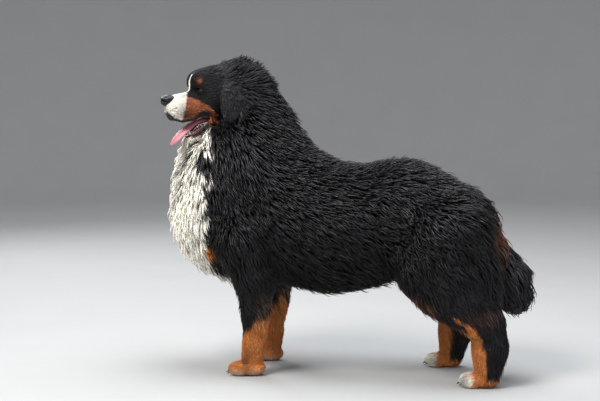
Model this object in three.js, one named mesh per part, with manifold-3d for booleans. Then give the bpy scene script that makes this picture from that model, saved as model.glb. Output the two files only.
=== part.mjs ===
// A Bernese mountain dog standing in profile with its mouth open, as a life-size still model.
// Millimetres, +Z up. The dog faces -X with its left side towards -Y. The solids show the outside
// of the coat, and thin flat cuts part them where a person would name the parts.
import * as THREE from "three";
import { mergeVertices } from "three/addons/utils/BufferGeometryUtils.js";
import Module from "manifold-3d";

const wasm = await Module();
wasm.setup();

// Driving dimensions. The points below are measured from the spot midway between the front paws.
const CENTRE = [281, 0]; // middle of the outline in plan, which becomes the origin
const CUT = 0.4; // half the width of the cuts between parts
const CLEAR = 1.2; // room between the coat and an ear or the tail that lies on it
const FRONT_TRACK = 118; // sideways from the midline to a front paw
const HEAD_AT = [-139, -53, 885]; // centre of the skull
const HEAD_YAW = 31; // degrees that the head turns to the dog's left
const HEAD_DOWN = 8; // degrees that the muzzle points below level
const JAW_DROP = 12; // degrees that the parting of the jaw drops towards the chin
const EYE = { at: [48, 35, 8], r: 12 }; // forward, left and up of the skull's centre
const PAW = { length: 96, width: 78, top: 66, toes: 4 };
const TOE = { half: [27, 12, 21], height: 19 };
const CLAW = { length: 17, r: 4.2, height: 13, lean: 112 };
const NECK_CUT = { at: [-60, 0, 655], tilt: 14 }; // parting of the neck from the chest
const BANDS = { chest: [-500, 245], loin: [245, 462], rump: [462, 1000] }; // along the trunk
const TAIL_JOINT = 345; // height of the parting in the tail
const CELLS = { trunk: 54, leg: 42, paw: 28, head: 19.5, nose: 11 }; // mesh fineness

const COLOURS = {
  black: 0x17161a,
  white: 0xe9e2d6,
  rust: 0xa4532a,
  nose: 0x141214,
  eye: 0x2a1710,
  pink: 0xc96f7c,
  claw: 0x2a2623,
};
const HAIRY = ["black", "white", "rust"];

const radians = THREE.MathUtils.degToRad;
const turnedY = (degrees) => new THREE.Matrix4().makeRotationY(radians(degrees));

// Head frame: forward to the nose, left, up
const yaw = radians(HEAD_YAW);
const down = radians(HEAD_DOWN);
const headForward = new THREE.Vector3(-Math.cos(yaw), -Math.sin(yaw), -Math.tan(down)).normalize();
const headLeft = new THREE.Vector3(Math.sin(yaw), -Math.cos(yaw), 0);
const headUp = new THREE.Vector3().crossVectors(headForward, headLeft);
const headMatrix = new THREE.Matrix4().makeBasis(headForward, headLeft, headUp).setPosition(...HEAD_AT);
const headInverse = headMatrix.clone().invert();

// Smooth shapes as distance functions
const smooth = (a, b, k) => {
  const h = Math.max(k - Math.abs(a - b), 0) / k;
  return Math.min(a, b) - (h * h * k) / 4;
};
const carve = (a, b, k) => -smooth(-a, b, k);

// A limb from a to b, each [x, y, z, radius], squeezed sideways by wide
function limb(a, b, wide = 1) {
  const A = new THREE.Vector3(a[0], a[1] / wide, a[2]);
  const axis = new THREE.Vector3(b[0], b[1] / wide, b[2]).sub(A);
  const length2 = axis.lengthSq();
  const fall = a[3] - b[3];
  const slope2 = length2 - fall * fall;
  return (x, y, z) => {
    const px = x - A.x;
    const py = y / wide - A.y;
    const pz = z - A.z;
    const along = px * axis.x + py * axis.y + pz * axis.z;
    const beyond = along - length2;
    const qx = px * length2 - axis.x * along;
    const qy = py * length2 - axis.y * along;
    const qz = pz * length2 - axis.z * along;
    const x2 = qx * qx + qy * qy + qz * qz;
    const y2 = along * along * length2;
    const z2 = beyond * beyond * length2;
    const k = Math.sign(fall) * fall * fall * x2;
    let d;
    if (Math.sign(beyond) * slope2 * z2 > k) d = Math.sqrt(x2 + z2) / length2 - b[3];
    else if (Math.sign(along) * slope2 * y2 < k) d = Math.sqrt(x2 + y2) / length2 - a[3];
    else d = (Math.sqrt((x2 * slope2) / length2) + along * fall) / length2 - a[3];
    return d * Math.min(1, wide);
  };
}

function egg(centre, radii) {
  return (x, y, z) => {
    const px = (x - centre[0]) / radii[0];
    const py = (y - centre[1]) / radii[1];
    const pz = (z - centre[2]) / radii[2];
    const k0 = Math.hypot(px, py, pz);
    const k1 = Math.hypot(px / radii[0], py / radii[1], pz / radii[2]);
    return k1 < 1e-9 ? -Math.min(...radii) : (k0 * (k0 - 1)) / k1;
  };
}

const blend = (parts, k) => (x, y, z) => {
  let d = 1e9;
  for (const part of parts) d = smooth(d, part(x, y, z), k);
  return d;
};
const chain = (points, k, wide) => blend(points.slice(1).map((b, i) => limb(points[i], b, wide)), k);
const pair = (make) => [make(1), make(-1)];

// Trunk along the midline, and the neck with its ruff
const trunk = chain([
  [-82, 0, 490, 202],
  [90, 0, 478, 198],
  [225, 0, 455, 202],
  [335, 0, 462, 184],
  [450, 0, 492, 178],
  [588, 0, 447, 168],
], 40, 0.84);
const neck = blend([
  chain([[-94, -8, 700, 160], [-62, 0, 600, 216], [-82, 0, 500, 200]], 40, 0.8),
  chain([[-66, -24, 876, 98], [-68, -26, 802, 106], [-80, -14, 738, 124]], 40, 0.68),
  limb([-60, -20, 880, 88], [10, 0, 790, 90], 0.8),
  limb([20, 0, 720, 105], [120, 0, 600, 110], 0.85),
], 45);

// Each leg is a chain of joints down to its paw. The rows are x, sideways, z, radius.
const FORELEG = {
  leg: [[-30, 150, 420, 90], [5, 150, 300, 68], [8, 128, 190, 47], [4, 120, 96, 33], [0, 118, 62, 33]],
  paw: [-8, FRONT_TRACK],
  heel: 8,
};
const HIND_LEFT = {
  leg: [[600, 92, 430, 148], [640, 104, 330, 122], [668, 118, 262, 88], [724, 124, 190, 50],
    [733, 126, 118, 50], [730, 128, 62, 44]],
  knee: [[560, 104, 360, 128], [590, 112, 300, 104]],
  paw: [712, 128],
  heel: 18,
};
const HIND_RIGHT = {
  leg: [[585, 92, 430, 148], [560, 108, 330, 118], [560, 126, 258, 84], [594, 138, 190, 49],
    [598, 144, 118, 48], [590, 148, 62, 42]],
  knee: [[540, 104, 370, 124], [500, 116, 310, 100]],
  paw: [572, 150],
  heel: 18,
};
const sided = (points, side) => points.map(([x, y, z, r]) => [x, side * y, z, r]);

function foot({ paw: [x, y], heel }, side) {
  const pad = egg([x + 2, side * y, 24], [46, PAW.width / 2 - 2, 27]);
  const ankle = limb([x + heel, side * y, 58, 33], [x + 6, side * y, 26, 26]);
  return blend([pad, ankle], 12);
}
const foreleg = (side) => blend([chain(sided(FORELEG.leg, side), 26), foot(FORELEG, side)], 18);
const hindleg = (hind, side) => blend([
  chain(sided(hind.leg, side), 30, 0.78),
  chain(sided(hind.knee, side), 30, 0.72),
  foot(hind, side),
], 26);

// Head in its own frame: the skull with its brows and cheeks, the muzzle with its lips, the jaw
const skull = blend([
  egg([-8, 0, 16], [88, 72, 62]),
  ...pair((s) => egg([42, s * 27, 38], [36, 27, 30])),
  ...pair((s) => egg([8, s * 50, -28], [50, 34, 46])),
], 24);
const muzzle = blend([
  limb([60, 0, -32, 40], [128, 0, -32, 36], 1.12),
  ...pair((s) => egg([106, s * 22, -50], [54, 25, 34])),
  ...pair((s) => limb([30, s * 36, -44, 26], [80, s * 30, -46, 30])),
], 16);
const jaw = blend([
  limb([-20, 0, -84, 44], [30, 0, -112, 30], 1.15),
  limb([30, 0, -116, 27], [98, 0, -138, 18], 1.35),
], 14);
const mouthGap = blend([
  limb([50, 0, -86, 19], [92, 0, -104, 21], 2.6),
  limb([92, 0, -104, 21], [150, 0, -108, 26], 2.6),
], 6);
const sockets = blend(pair((s) => egg([72, s * 46, 6], [26, 16, 15])), 2);
const headFront = (f, l, u) => {
  const upper = carve(smooth(skull(f, l, u), muzzle(f, l, u), 24), sockets(f, l, u), 14);
  return smooth(upper, jaw(f, l, u), 12);
};
const point = new THREE.Vector3();
const inHead = (shape) => (x, y, z) => {
  point.set(x, y, z).applyMatrix4(headInverse);
  return shape(point.x, point.y, point.z);
};

const head = inHead(headFront);
const mouth = inHead(mouthGap);
const legs = [foreleg(-1), foreleg(1), hindleg(HIND_LEFT, -1), hindleg(HIND_RIGHT, 1)];
function body(x, y, z) {
  let d = smooth(trunk(x, y, z), neck(x, y, z), 60);
  d = Math.max(smooth(d, head(x, y, z), 18), -mouth(x, y, z));
  for (const leg of legs) d = smooth(d, leg(x, y, z), 34);
  return d;
}

// Moves a point of a surface mesh onto the true surface, by at most half a cell
function settle(shape, p, cell) {
  const d = shape(...p);
  const slope = p.map((_, m) => shape(...p.map((v, i) => (i === m ? v + 1 : v))) - d);
  const steep = slope.reduce((sum, v) => sum + v * v, 0);
  const pace = THREE.MathUtils.clamp(d / Math.max(steep, 0.2), -cell / 2, cell / 2);
  return p.map((v, m) => v - pace * slope[m]);
}

// Turns a distance function inside a box into one closed mesh: one vertex in each cell that the
// surface crosses, and one four-sided face across each grid edge that it crosses.
function surface(shape, low, high, cell) {
  const n = low.map((v, i) => Math.ceil((high[i] - v) / cell) + 1);
  const at = (i, j, k) => (k * n[1] + j) * n[0] + i;
  const field = new Float64Array(n[0] * n[1] * n[2]);
  for (let k = 0; k < n[2]; k++)
    for (let j = 0; j < n[1]; j++)
      for (let i = 0; i < n[0]; i++) {
        const rim = [i, j, k].some((g, m) => g === 0 || g === n[m] - 1);
        const d = shape(low[0] + i * cell, low[1] + j * cell, low[2] + k * cell);
        field[at(i, j, k)] = rim ? Math.max(d, cell / 4) : d || 1e-6;
      }
  const vertexOf = new Int32Array(field.length).fill(-1);
  const vertices = [];
  for (let k = 0; k < n[2] - 1; k++)
    for (let j = 0; j < n[1] - 1; j++)
      for (let i = 0; i < n[0] - 1; i++) {
        const sum = [0, 0, 0];
        let hits = 0;
        for (let corner = 0; corner < 8; corner++)
          for (const m of [0, 1, 2]) {
            if (corner & (1 << m)) continue;
            const p = [corner & 1, (corner >> 1) & 1, corner >> 2];
            const from = at(i + p[0], j + p[1], k + p[2]);
            const to = from + [1, n[0], n[0] * n[1]][m];
            if (field[from] < 0 === field[to] < 0) continue;
            p[m] += field[from] / (field[from] - field[to]);
            p.forEach((v, axis) => (sum[axis] += v));
            hits++;
          }
        if (!hits) continue;
        vertexOf[at(i, j, k)] = vertices.length / 3;
        const p = [i, j, k].map((g, m) => low[m] + (g + sum[m] / hits) * cell);
        const rim = [i, j, k].some((g, m) => g === 0 || g === n[m] - 2);
        vertices.push(...(rim ? p : settle(shape, p, cell)));
      }
  const faces = [];
  const step = [1, n[0], n[0] * n[1]];
  for (let k = 0; k < n[2] - 1; k++)
    for (let j = 0; j < n[1] - 1; j++)
      for (let i = 0; i < n[0] - 1; i++)
        for (const m of [0, 1, 2]) {
          if ([i, j, k].some((g, axis) => axis !== m && g === 0)) continue;
          const here = at(i, j, k);
          const inside = field[here] < 0;
          if (inside === field[here + step[m]] < 0) continue;
          const [u, v] = [step[(m + 1) % 3], step[(m + 2) % 3]];
          const quad = [here - u - v, here - v, here, here - u].map((c) => vertexOf[c]);
          if (!inside) quad.reverse();
          faces.push(quad[0], quad[1], quad[2], quad[0], quad[2], quad[3]);
        }
  return closed(vertices, faces);
}

// A closed tube of oval rings square to its path. A ring is x, y, z, half its width and half its
// thickness, and its width lies along the direction wide.
function loft(rings, wide, grow = 0) {
  const sides = 10;
  const at = rings.map(([x, y, z]) => new THREE.Vector3(x, y, z));
  const last = rings.length - 1;
  const vertices = [];
  rings.forEach(([, , , width, thickness], i) => {
    const along = at[Math.min(i + 1, last)].clone().sub(at[Math.max(i - 1, 0)]).normalize();
    const thin = new THREE.Vector3().crossVectors(along, wide).normalize();
    const across = new THREE.Vector3().crossVectors(thin, along);
    for (let k = 0; k < sides; k++) {
      const turn = (2 * Math.PI * k) / sides;
      const p = at[i].clone().addScaledVector(across, Math.cos(turn) * (width + grow));
      vertices.push(...p.addScaledVector(thin, Math.sin(turn) * (thickness + grow)));
    }
  });
  const faces = [];
  for (let i = 0; i < last; i++)
    for (let k = 0; k < sides; k++) {
      const [a, b] = [i * sides + k, i * sides + ((k + 1) % sides)];
      faces.push(a, b, a + sides, b, b + sides, a + sides);
    }
  const end = last * sides;
  for (let k = 1; k < sides - 1; k++) faces.push(0, k + 1, k, end, end + k, end + k + 1);
  return closed(vertices, faces);
}

function closed(vertices, faces) {
  const geometry = new THREE.BufferGeometry();
  geometry.setAttribute("position", new THREE.BufferAttribute(new Float32Array(vertices), 3));
  geometry.setIndex(faces);
  return geometry;
}

// Closed geometry to solid, and back
function solid(geometry, matrix) {
  const bare = closed(geometry.getAttribute("position").array, [...geometry.index.array]);
  if (matrix) bare.applyMatrix4(matrix);
  const merged = mergeVertices(bare, 1e-3);
  return new wasm.Manifold(new wasm.Mesh({
    numProp: 3,
    vertProperties: merged.attributes.position.array,
    triVerts: new Uint32Array(merged.index.array),
  }));
}

function geometryOf(made) {
  const mesh = made.getMesh();
  const geometry = closed(mesh.vertProperties, [...mesh.triVerts]);
  geometry.computeVertexNormals();
  return geometry;
}

const less = (made, ...holes) => holes.reduce((a, b) => a.subtract(b), made);
const plus = (made, ...more) => more.reduce((a, b) => a.add(b), made);
const largest = (made) => made.decompose().reduce((a, b) => (a.volume() > b.volume() ? a : b));

// A box between two corners, grown by grow on every side, in the frame of matrix
function block(low, high, grow = 0, matrix = undefined) {
  const box = new THREE.BoxGeometry(...high.map((v, i) => v - low[i] + 2 * grow));
  box.translate(...high.map((v, i) => (v + low[i]) / 2));
  return solid(box, matrix);
}
const slab = (from, to) => block([-500, -400, from], [1000, 400, to]);

// Regions that part the body. Each is a box in its own frame.
const headBox = (grow) => block([-42, -140, -164], [210, 140, 150], grow, headMatrix);
const neckMatrix = turnedY(-NECK_CUT.tilt).setPosition(...NECK_CUT.at);
const neckBox = (grow) => block([-330, -300, 0], [330, 300, 420], grow, neckMatrix);
const jawMatrix = headMatrix.clone().multiply(turnedY(JAW_DROP).setPosition(0, 0, -90));
const jawBox = (grow) => block([14, -90, -90], [200, 90, 0], grow, jawMatrix);
const SIDES = { left: -1, right: 1 };
function legBox(side, from, to, top, grow) {
  const [inner, outer] = [34 * side, 330 * side].sort((a, b) => a - b);
  return block([from, inner, -40], [to, outer, top], grow);
}
const frontBox = (side, grow) => legBox(side, -130, 118, 322, grow);
const hindBox = (side, grow) => legBox(side, side < 0 ? 462 : 405, 900, 452, grow);

// The body, or a copy of it grown by grow, at the fineness of a region and flat at the floor
const coat = (low, high, cell, grow = 0) =>
  solid(surface((x, y, z) => body(x, y, z) - grow, low, high, cell)).intersect(slab(0, 1200));
const trunkCoat = (grow) => coat([-340, -270, 160], [830, 270, 1030], CELLS.trunk, grow);
const headCoat = (grow) => coat([-330, -270, 640], [60, 160, 1030], CELLS.head, grow);
const legCoat = (side, from, to, top, grow) => {
  const [inner, outer] = [0, 300 * side].sort((a, b) => a - b);
  return coat([from, inner, 30], [to, outer, top], CELLS.leg, grow);
};
const hindCoat = (side, grow) => legCoat(side, 380, 850, 500, grow);

const root = new THREE.Group();
root.position.set(-CENTRE[0], -CENTRE[1], 0);
const materials = {};
for (const [name, color] of Object.entries(COLOURS)) {
  const roughness = HAIRY.includes(name) ? 0.85 : 0.35;
  materials[name] = new THREE.MeshStandardMaterial({ color, roughness, metalness: 0 });
}
function node(name, made, material) {
  const mesh = new THREE.Mesh(geometryOf(largest(made)), materials[material]);
  mesh.name = name;
  root.add(mesh);
}

// Trunk and neck
const legBoxes = Object.values(SIDES).flatMap((side) => [frontBox(side, CUT), hindBox(side, CUT)]);
const withoutLegs = less(trunkCoat(0), ...legBoxes);
const below = less(withoutLegs, neckBox(CUT), headBox(CUT));
for (const [name, [from, to]] of Object.entries(BANDS))
  node(name, below.intersect(block([from + CUT, -400, 150], [to - CUT, 400, 1000])), "black");
node("neck", less(withoutLegs.intersect(neckBox(-CUT)), headBox(CUT)), "black");

// Eyes, nose leather and tongue
function eyeball(side, grow) {
  const [f, l, u] = EYE.at;
  return solid(new THREE.SphereGeometry(EYE.r + grow, 10, 7).translate(f, -side * l, u), headMatrix);
}
const noseShape = blend([
  egg([153, 0, -8], [19, 22, 14]),
  egg([164, 0, -14], [10, 15, 13]),
  ...pair((s) => egg([148, s * 14, -10], [15, 11, 11])),
], 6);
function nose(grow) {
  const grown = (f, l, u) => noseShape(f, l, u) - grow;
  return solid(surface(grown, [122, -40, -40], [188, 40, 24], CELLS.nose), headMatrix);
}
const TONGUE = [
  [22, 0, -94, 20, 7],
  [50, 0, -92, 25, 8],
  [78, 0, -97, 27, 8],
  [104, 0, -106, 28, 8],
  [128, 0, -120, 28, 7],
  [146, 0, -135, 25, 6],
  [156, 0, -146, 17, 5],
  [161, 0, -152, 7, 3],
];
const tongue = (grow) => solid(loft(TONGUE, new THREE.Vector3(0, 1, 0), grow), headMatrix);

// Lower teeth stand along the edges of the jaw and are one piece with it
const TEETH = { count: 6, from: 50, pitch: 9, slope: -0.36, height: 15, r: 5 };
function teeth() {
  const made = [];
  for (let i = 0; i < TEETH.count; i++)
    for (const side of [-1, 1]) {
      const tooth = new THREE.ConeGeometry(TEETH.r, TEETH.height, 4).rotateX(Math.PI / 2);
      const f = TEETH.from + i * TEETH.pitch;
      tooth.translate(f, side * (22 - i), -112 + TEETH.slope * i * TEETH.pitch);
      made.push(solid(tooth, headMatrix));
    }
  return made;
}

// An ear hangs from the side of the skull as a rounded triangle
const EAR = [
  [-32, 66, 22, 12, 9],
  [-30, 76, 12, 20, 9],
  [-27, 88, -8, 27, 8],
  [-27, 95, -32, 33, 7],
  [-27, 99, -56, 36, 7],
  [-25, 101, -74, 34, 6],
  [-19, 101, -86, 24, 5],
  [-13, 101, -93, 10, 3],
];
function ear(side) {
  const rings = EAR.map(([f, l, u, width, thickness]) => [f, -side * l, u, width, thickness]);
  return solid(loft(rings, new THREE.Vector3(1, 0, 0)), headMatrix);
}

// Head, with the jaw parted from it through the corner of the mouth
const headAll = less(
  headCoat(0).intersect(headBox(-CUT)),
  nose(CLEAR),
  eyeball(-1, CUT),
  eyeball(1, CUT),
  tongue(CUT),
);
node("head", less(headAll, jawBox(CUT)), "black");
node("jaw", less(plus(headAll.intersect(jawBox(-CUT)), ...teeth()), tongue(CUT)), "white");
node("nose", nose(0), "nose");
node("tongue", tongue(0), "pink");
for (const [name, side] of Object.entries(SIDES)) {
  node("eye_" + name, eyeball(side, 0), "eye");
  node("ear_" + name, less(ear(side), headCoat(CLEAR), trunkCoat(CLEAR)), "black");
}

// Legs and paws, with their toes and claws
const toePlaces = ({ paw: [x, y] }, side) => Array.from({ length: PAW.toes }, (_, i) => {
  const across = (i - (PAW.toes - 1) / 2) / PAW.toes;
  return [x - PAW.length * (0.44 - 0.75 * across * across), side * y + across * PAW.width];
});
function toe([x, y]) {
  return solid(new THREE.SphereGeometry(1, 6, 5).scale(...TOE.half).translate(x, y, TOE.height));
}
function claw([x, y], grow) {
  const profile = [
    [0, -grow],
    [CLAW.r + grow, -grow],
    [CLAW.r * 0.8 + grow, CLAW.length / 2],
    [0, CLAW.length + grow],
  ];
  const cone = new THREE.LatheGeometry(profile.map(([r, h]) => new THREE.Vector2(r, h)), 4);
  const stand = new THREE.Matrix4().makeRotationX(Math.PI / 2);
  return solid(cone, turnedY(-CLAW.lean).setPosition(x - 21, y, CLAW.height).multiply(stand));
}
function legNodes(word, leg, sideName, region, rough) {
  const side = SIDES[sideName];
  const upper = rough.intersect(region(side, -CUT)).intersect(slab(PAW.top + CUT, 900));
  node(word + "leg_" + sideName, upper, "black");
  const [x, y] = [leg.paw[0], side * leg.paw[1]];
  const places = toePlaces(leg, side);
  const pad = coat([x - 92, y - 72, -32], [x + 110, y + 72, 108], CELLS.paw);
  const paw = plus(pad, ...places.map(toe)).intersect(slab(0, PAW.top - CUT));
  node(word + "paw_" + sideName, less(paw, ...places.map((place) => claw(place, CUT))), "rust");
  places.forEach((place, i) => node(`${word}claw_${sideName}_${i + 1}`, claw(place, 0), "claw"));
}
for (const [sideName, side] of Object.entries(SIDES)) {
  legNodes("fore", FORELEG, sideName, frontBox, legCoat(side, -170, 170, 380, 0));
  legNodes("hind", side < 0 ? HIND_LEFT : HIND_RIGHT, sideName, hindBox, hindCoat(side, 0));
}

// The tail hangs from the croup in two lengths, cut clear of the body that it lies against
const TAIL = [
  [690, 0, 530, 34, 30],
  [708, 0, 480, 46, 42],
  [716, 0, 432, 50, 46],
  [732, 1, 388, 56, 52],
  [758, 3, 343, 66, 62],
  [784, 5, 300, 73, 72],
  [796, 6, 260, 68, 66],
  [799, 6, 228, 46, 46],
  [800, 6, 206, 18, 18],
];
const tail = solid(loft(TAIL, new THREE.Vector3(0, 1, 0)));
const freeTail = largest(less(tail, trunkCoat(CLEAR), hindCoat(-1, CLEAR), hindCoat(1, CLEAR)));
node("tail_base", freeTail.intersect(slab(TAIL_JOINT + CUT, 800)), "black");
node("tail_tip", freeTail.intersect(slab(0, TAIL_JOINT - CUT)), "black");

export default root;
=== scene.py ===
# A Bernese mountain dog standing in profile, mouth open, tongue out: one skin, with a coat of
# solid locks over it. Shapes are worked out in millimetres in the dog's own frame, where the dog
# faces -X with its left side towards -Y, and are turned into metres at the end.
import math

import bpy
import numpy as np
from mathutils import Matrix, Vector
from mathutils.kdtree import KDTree


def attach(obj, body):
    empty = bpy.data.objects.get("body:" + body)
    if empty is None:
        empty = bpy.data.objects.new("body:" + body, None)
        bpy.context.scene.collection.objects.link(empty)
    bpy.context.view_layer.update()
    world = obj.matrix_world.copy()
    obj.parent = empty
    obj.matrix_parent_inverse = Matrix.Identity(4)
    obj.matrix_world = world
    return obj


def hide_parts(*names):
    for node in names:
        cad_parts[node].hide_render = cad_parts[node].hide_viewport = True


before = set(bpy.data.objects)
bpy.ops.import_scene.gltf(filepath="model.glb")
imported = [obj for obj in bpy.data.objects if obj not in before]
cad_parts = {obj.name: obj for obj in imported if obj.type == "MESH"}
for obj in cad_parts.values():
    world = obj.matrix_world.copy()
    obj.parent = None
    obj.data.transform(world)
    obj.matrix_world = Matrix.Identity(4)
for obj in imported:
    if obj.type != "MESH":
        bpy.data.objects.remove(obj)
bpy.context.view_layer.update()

# Driving dimensions, in millimetres, as in the solids
CENTRE = np.array([281.0, 0.0, 0.0])
HEAD_AT = np.array([-139.0, -53.0, 885.0])
HEAD_YAW = math.radians(31)
HEAD_DOWN = math.radians(8)
EYE_AT = (48.0, 35.0, 8.0)
EYE_R = 12.0
TRACK = 118.0
CLAW_HEIGHT = 13.0
SEED = 11

forward = np.array([-math.cos(HEAD_YAW), -math.sin(HEAD_YAW), -math.tan(HEAD_DOWN)])
forward /= np.linalg.norm(forward)
left = np.array([math.sin(HEAD_YAW), -math.cos(HEAD_YAW), 0.0])
HEAD_AXES = np.stack([forward, left, np.cross(forward, left)])


def to_head(P):
    return (P - HEAD_AT) @ HEAD_AXES.T


def from_head(Q):
    return np.asarray(Q, float) @ HEAD_AXES + HEAD_AT


# Smooth shapes as distance functions over arrays of points
def smooth(a, b, k):
    h = np.maximum(k - np.abs(a - b), 0) / k
    return np.minimum(a, b) - h * h * k / 4


def carve(a, b, k):
    return -smooth(-a, b, k)


def step_up(x, low, high):
    t = np.clip((x - low) / (high - low), 0, 1)
    return t * t * (3 - 2 * t)


def between(x, start, full, fall, end):
    """Rises from 0 to 1 between start and full, and falls again between fall and end."""
    return step_up(x, start, full) * (1 - step_up(x, fall, end))


def length_of(v):
    return np.sqrt(np.einsum("ij,ij->i", v, v))


def unit(v):
    return v / np.maximum(length_of(v), 1e-9)[:, None]


def limb(P, a, b, wide=1.0):
    """A cone with round ends from a to b, each (x, y, z, radius), squeezed sideways by wide."""
    scale = np.array([1, 1 / wide, 1])
    start = np.array(a[:3]) * scale
    axis = np.array(b[:3]) * scale - start
    length2 = axis @ axis
    fall = a[3] - b[3]
    slope2 = length2 - fall * fall
    p = P * scale - start
    along = p @ axis
    beyond = along - length2
    q = p * length2 - along[:, None] * axis
    x2 = np.einsum("ij,ij->i", q, q)
    y2 = along * along * length2
    z2 = beyond * beyond * length2
    k = np.sign(fall) * fall * fall * x2
    side = (np.sqrt(np.abs(x2 * slope2 / length2)) + along * fall) / length2 - a[3]
    start_cap = np.sqrt(x2 + y2) / length2 - a[3]
    end_cap = np.sqrt(x2 + z2) / length2 - b[3]
    d = np.where(np.sign(along) * slope2 * y2 < k, start_cap, side)
    d = np.where(np.sign(beyond) * slope2 * z2 > k, end_cap, d)
    return d * min(1.0, wide)


def egg(P, centre, radii):
    p = (P - np.array(centre)) / np.array(radii)
    k0 = length_of(p)
    k1 = np.maximum(length_of(p / np.array(radii)), 1e-9)
    return k0 * (k0 - 1) / k1


def blend(parts, k):
    d = parts[0]
    for part in parts[1:]:
        d = smooth(d, part, k)
    return d


def chain(P, points, k, wide=1.0):
    return blend([limb(P, a, b, wide) for a, b in zip(points, points[1:])], k)


def pair(make):
    return [make(1), make(-1)]


def with_pair(d, make, k):
    """d with a shape for each side worked in, the left one first."""
    for part in pair(make):
        d = smooth(d, part, k)
    return d


# Trunk and neck, as the outside of the coat
TRUNK = [(-82, 0, 490, 202), (90, 0, 478, 198), (225, 0, 455, 202), (335, 0, 462, 184),
         (450, 0, 492, 178), (588, 0, 447, 168)]


def trunk(P):
    return chain(P, TRUNK, 40, 0.84)


def neck(P):
    ruff = chain(P, [(-94, -8, 700, 160), (-62, 0, 600, 216), (-82, 0, 500, 200)], 40, 0.8)
    nape = chain(P, [(-66, -24, 876, 98), (-68, -26, 802, 106), (-80, -14, 738, 124)], 40, 0.68)
    crest = limb(P, (-60, -20, 880, 88), (10, 0, 790, 90), 0.8)
    withers = limb(P, (20, 0, 720, 105), (120, 0, 600, 110), 0.85)
    return blend([ruff, nape, crest, withers], 45)


# Legs: rows of x, sideways, z, radius down to each paw
FORE = {
    "leg": [(-30, 138, 420, 90), (15, 140, 300, 62), (9, 126, 190, 43), (4, 120, 96, 33),
            (0, 118, 62, 33)],
    "knee": None, "paw": (-8, TRACK), "heel": 8,
}
HIND_LEFT = {
    "leg": [(600, 92, 430, 148), (640, 104, 330, 122), (668, 118, 262, 88), (724, 124, 190, 50),
            (733, 126, 118, 50), (730, 128, 62, 44)],
    "knee": [(560, 104, 360, 128), (590, 112, 300, 104)], "paw": (712, 128), "heel": 18,
}
HIND_RIGHT = {
    "leg": [(585, 92, 430, 148), (560, 108, 330, 118), (560, 126, 258, 84), (594, 138, 190, 49),
            (598, 144, 118, 48), (590, 148, 62, 42)],
    "knee": [(540, 104, 370, 124), (500, 116, 310, 100)], "paw": (572, 150), "heel": 18,
}
LEGS = [("foreleg_left", FORE, -1), ("foreleg_right", FORE, 1),
        ("hindleg_left", HIND_LEFT, -1), ("hindleg_right", HIND_RIGHT, 1)]
TAIL = [(690, 0, 530, 32), (708, 0, 480, 44), (716, 0, 432, 48), (732, 1, 388, 54),
        (758, 3, 343, 64), (784, 5, 304, 72), (796, 6, 268, 64), (799, 6, 244, 42),
        (800, 6, 226, 18)]
TAIL_CORE = [(650, 0, 525, 26), (700, 0, 470, 26), (722, 1, 410, 30), (756, 3, 335, 38),
             (786, 5, 272, 30)]


def sided(points, side):
    return [(x, side * y, z, r) for x, y, z, r in points]


def leg_at(leg, z):
    """Where a leg's middle line is along and across the dog at heights z, and its radius there."""
    line = np.array(leg["leg"])[::-1]
    return [np.interp(z, line[:, 2], line[:, column]) for column in (0, 1, 3)]


def toe_places(leg, side):
    x, y = leg["paw"]
    across = [(i - 1.5) / 4 for i in range(4)]
    return [(x - 96 * (0.44 - 0.75 * a * a), side * y + a * 78) for a in across]


def upper_leg(P, leg, side):
    if leg["knee"] is None:
        return chain(P, sided(leg["leg"], side), 26)
    shank = chain(P, sided(leg["leg"], side), 30, 0.78)
    return smooth(shank, chain(P, sided(leg["knee"], side), 30, 0.72), 26)


def foot(P, leg, side):
    x, y = leg["paw"]
    pad = egg(P, (x + 4, side * y, 23), (45, 36, 26))
    ankle = limb(P, (x + leg["heel"], side * y, 58, 33), (x + 6, side * y, 26, 26))
    toes = [egg(P, (tx + 1, ty, 20), (30, 10.5, 22)) for tx, ty in toe_places(leg, side)]
    return smooth(blend([pad, ankle], 12), np.minimum.reduce(toes), 8)


# Head in its own frame: forward, left and up of the middle of the skull. thin is what the hair
# takes off the flesh under it.
def skull(Q, thin):
    return blend([
        egg(Q, (-8, 0, 16), (88 - thin, 72 - thin, 62 - thin)),
        *pair(lambda s: egg(Q, (42, s * 27, 38), (36 - thin, 27 - thin, 30 - thin))),
        *pair(lambda s: egg(Q, (8, s * 50, -28), (50 - thin, 34 - thin, 46 - thin))),
    ], 24)


def muzzle(Q, thin):
    return blend([
        limb(Q, (60, 0, -32, 40 - thin), (128, 0, -32, 36 - thin), 1.12),
        *pair(lambda s: egg(Q, (106, s * 22, -50), (54 - thin, 25 - thin, 34 - thin))),
        *pair(lambda s: limb(Q, (30, s * 36, -44, 26 - thin), (80, s * 30, -46, 30 - thin))),
    ], 16)


def jaw(Q, thin):
    return blend([
        limb(Q, (-20, 0, -84, 44 - thin), (30, 0, -112, 30 - thin), 1.15),
        limb(Q, (30, 0, -116, 27 - thin), (98, 0, -138, 18 - thin), 1.35),
    ], 14)


def mouth_gap(Q):
    rear = limb(Q, (50, 0, -86, 19), (92, 0, -104, 21), 2.6)
    return smooth(rear, limb(Q, (92, 0, -104, 21), (150, 0, -108, 26), 2.6), 6)


def sockets(Q):
    return np.minimum(*pair(lambda s: egg(Q, (72, s * 46, 6), (26, 16, 15))))


def head_coat(Q):
    upper = carve(smooth(skull(Q, 0), muzzle(Q, 0), 24), sockets(Q), 14)
    return smooth(upper, jaw(Q, 0), 12)


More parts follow.
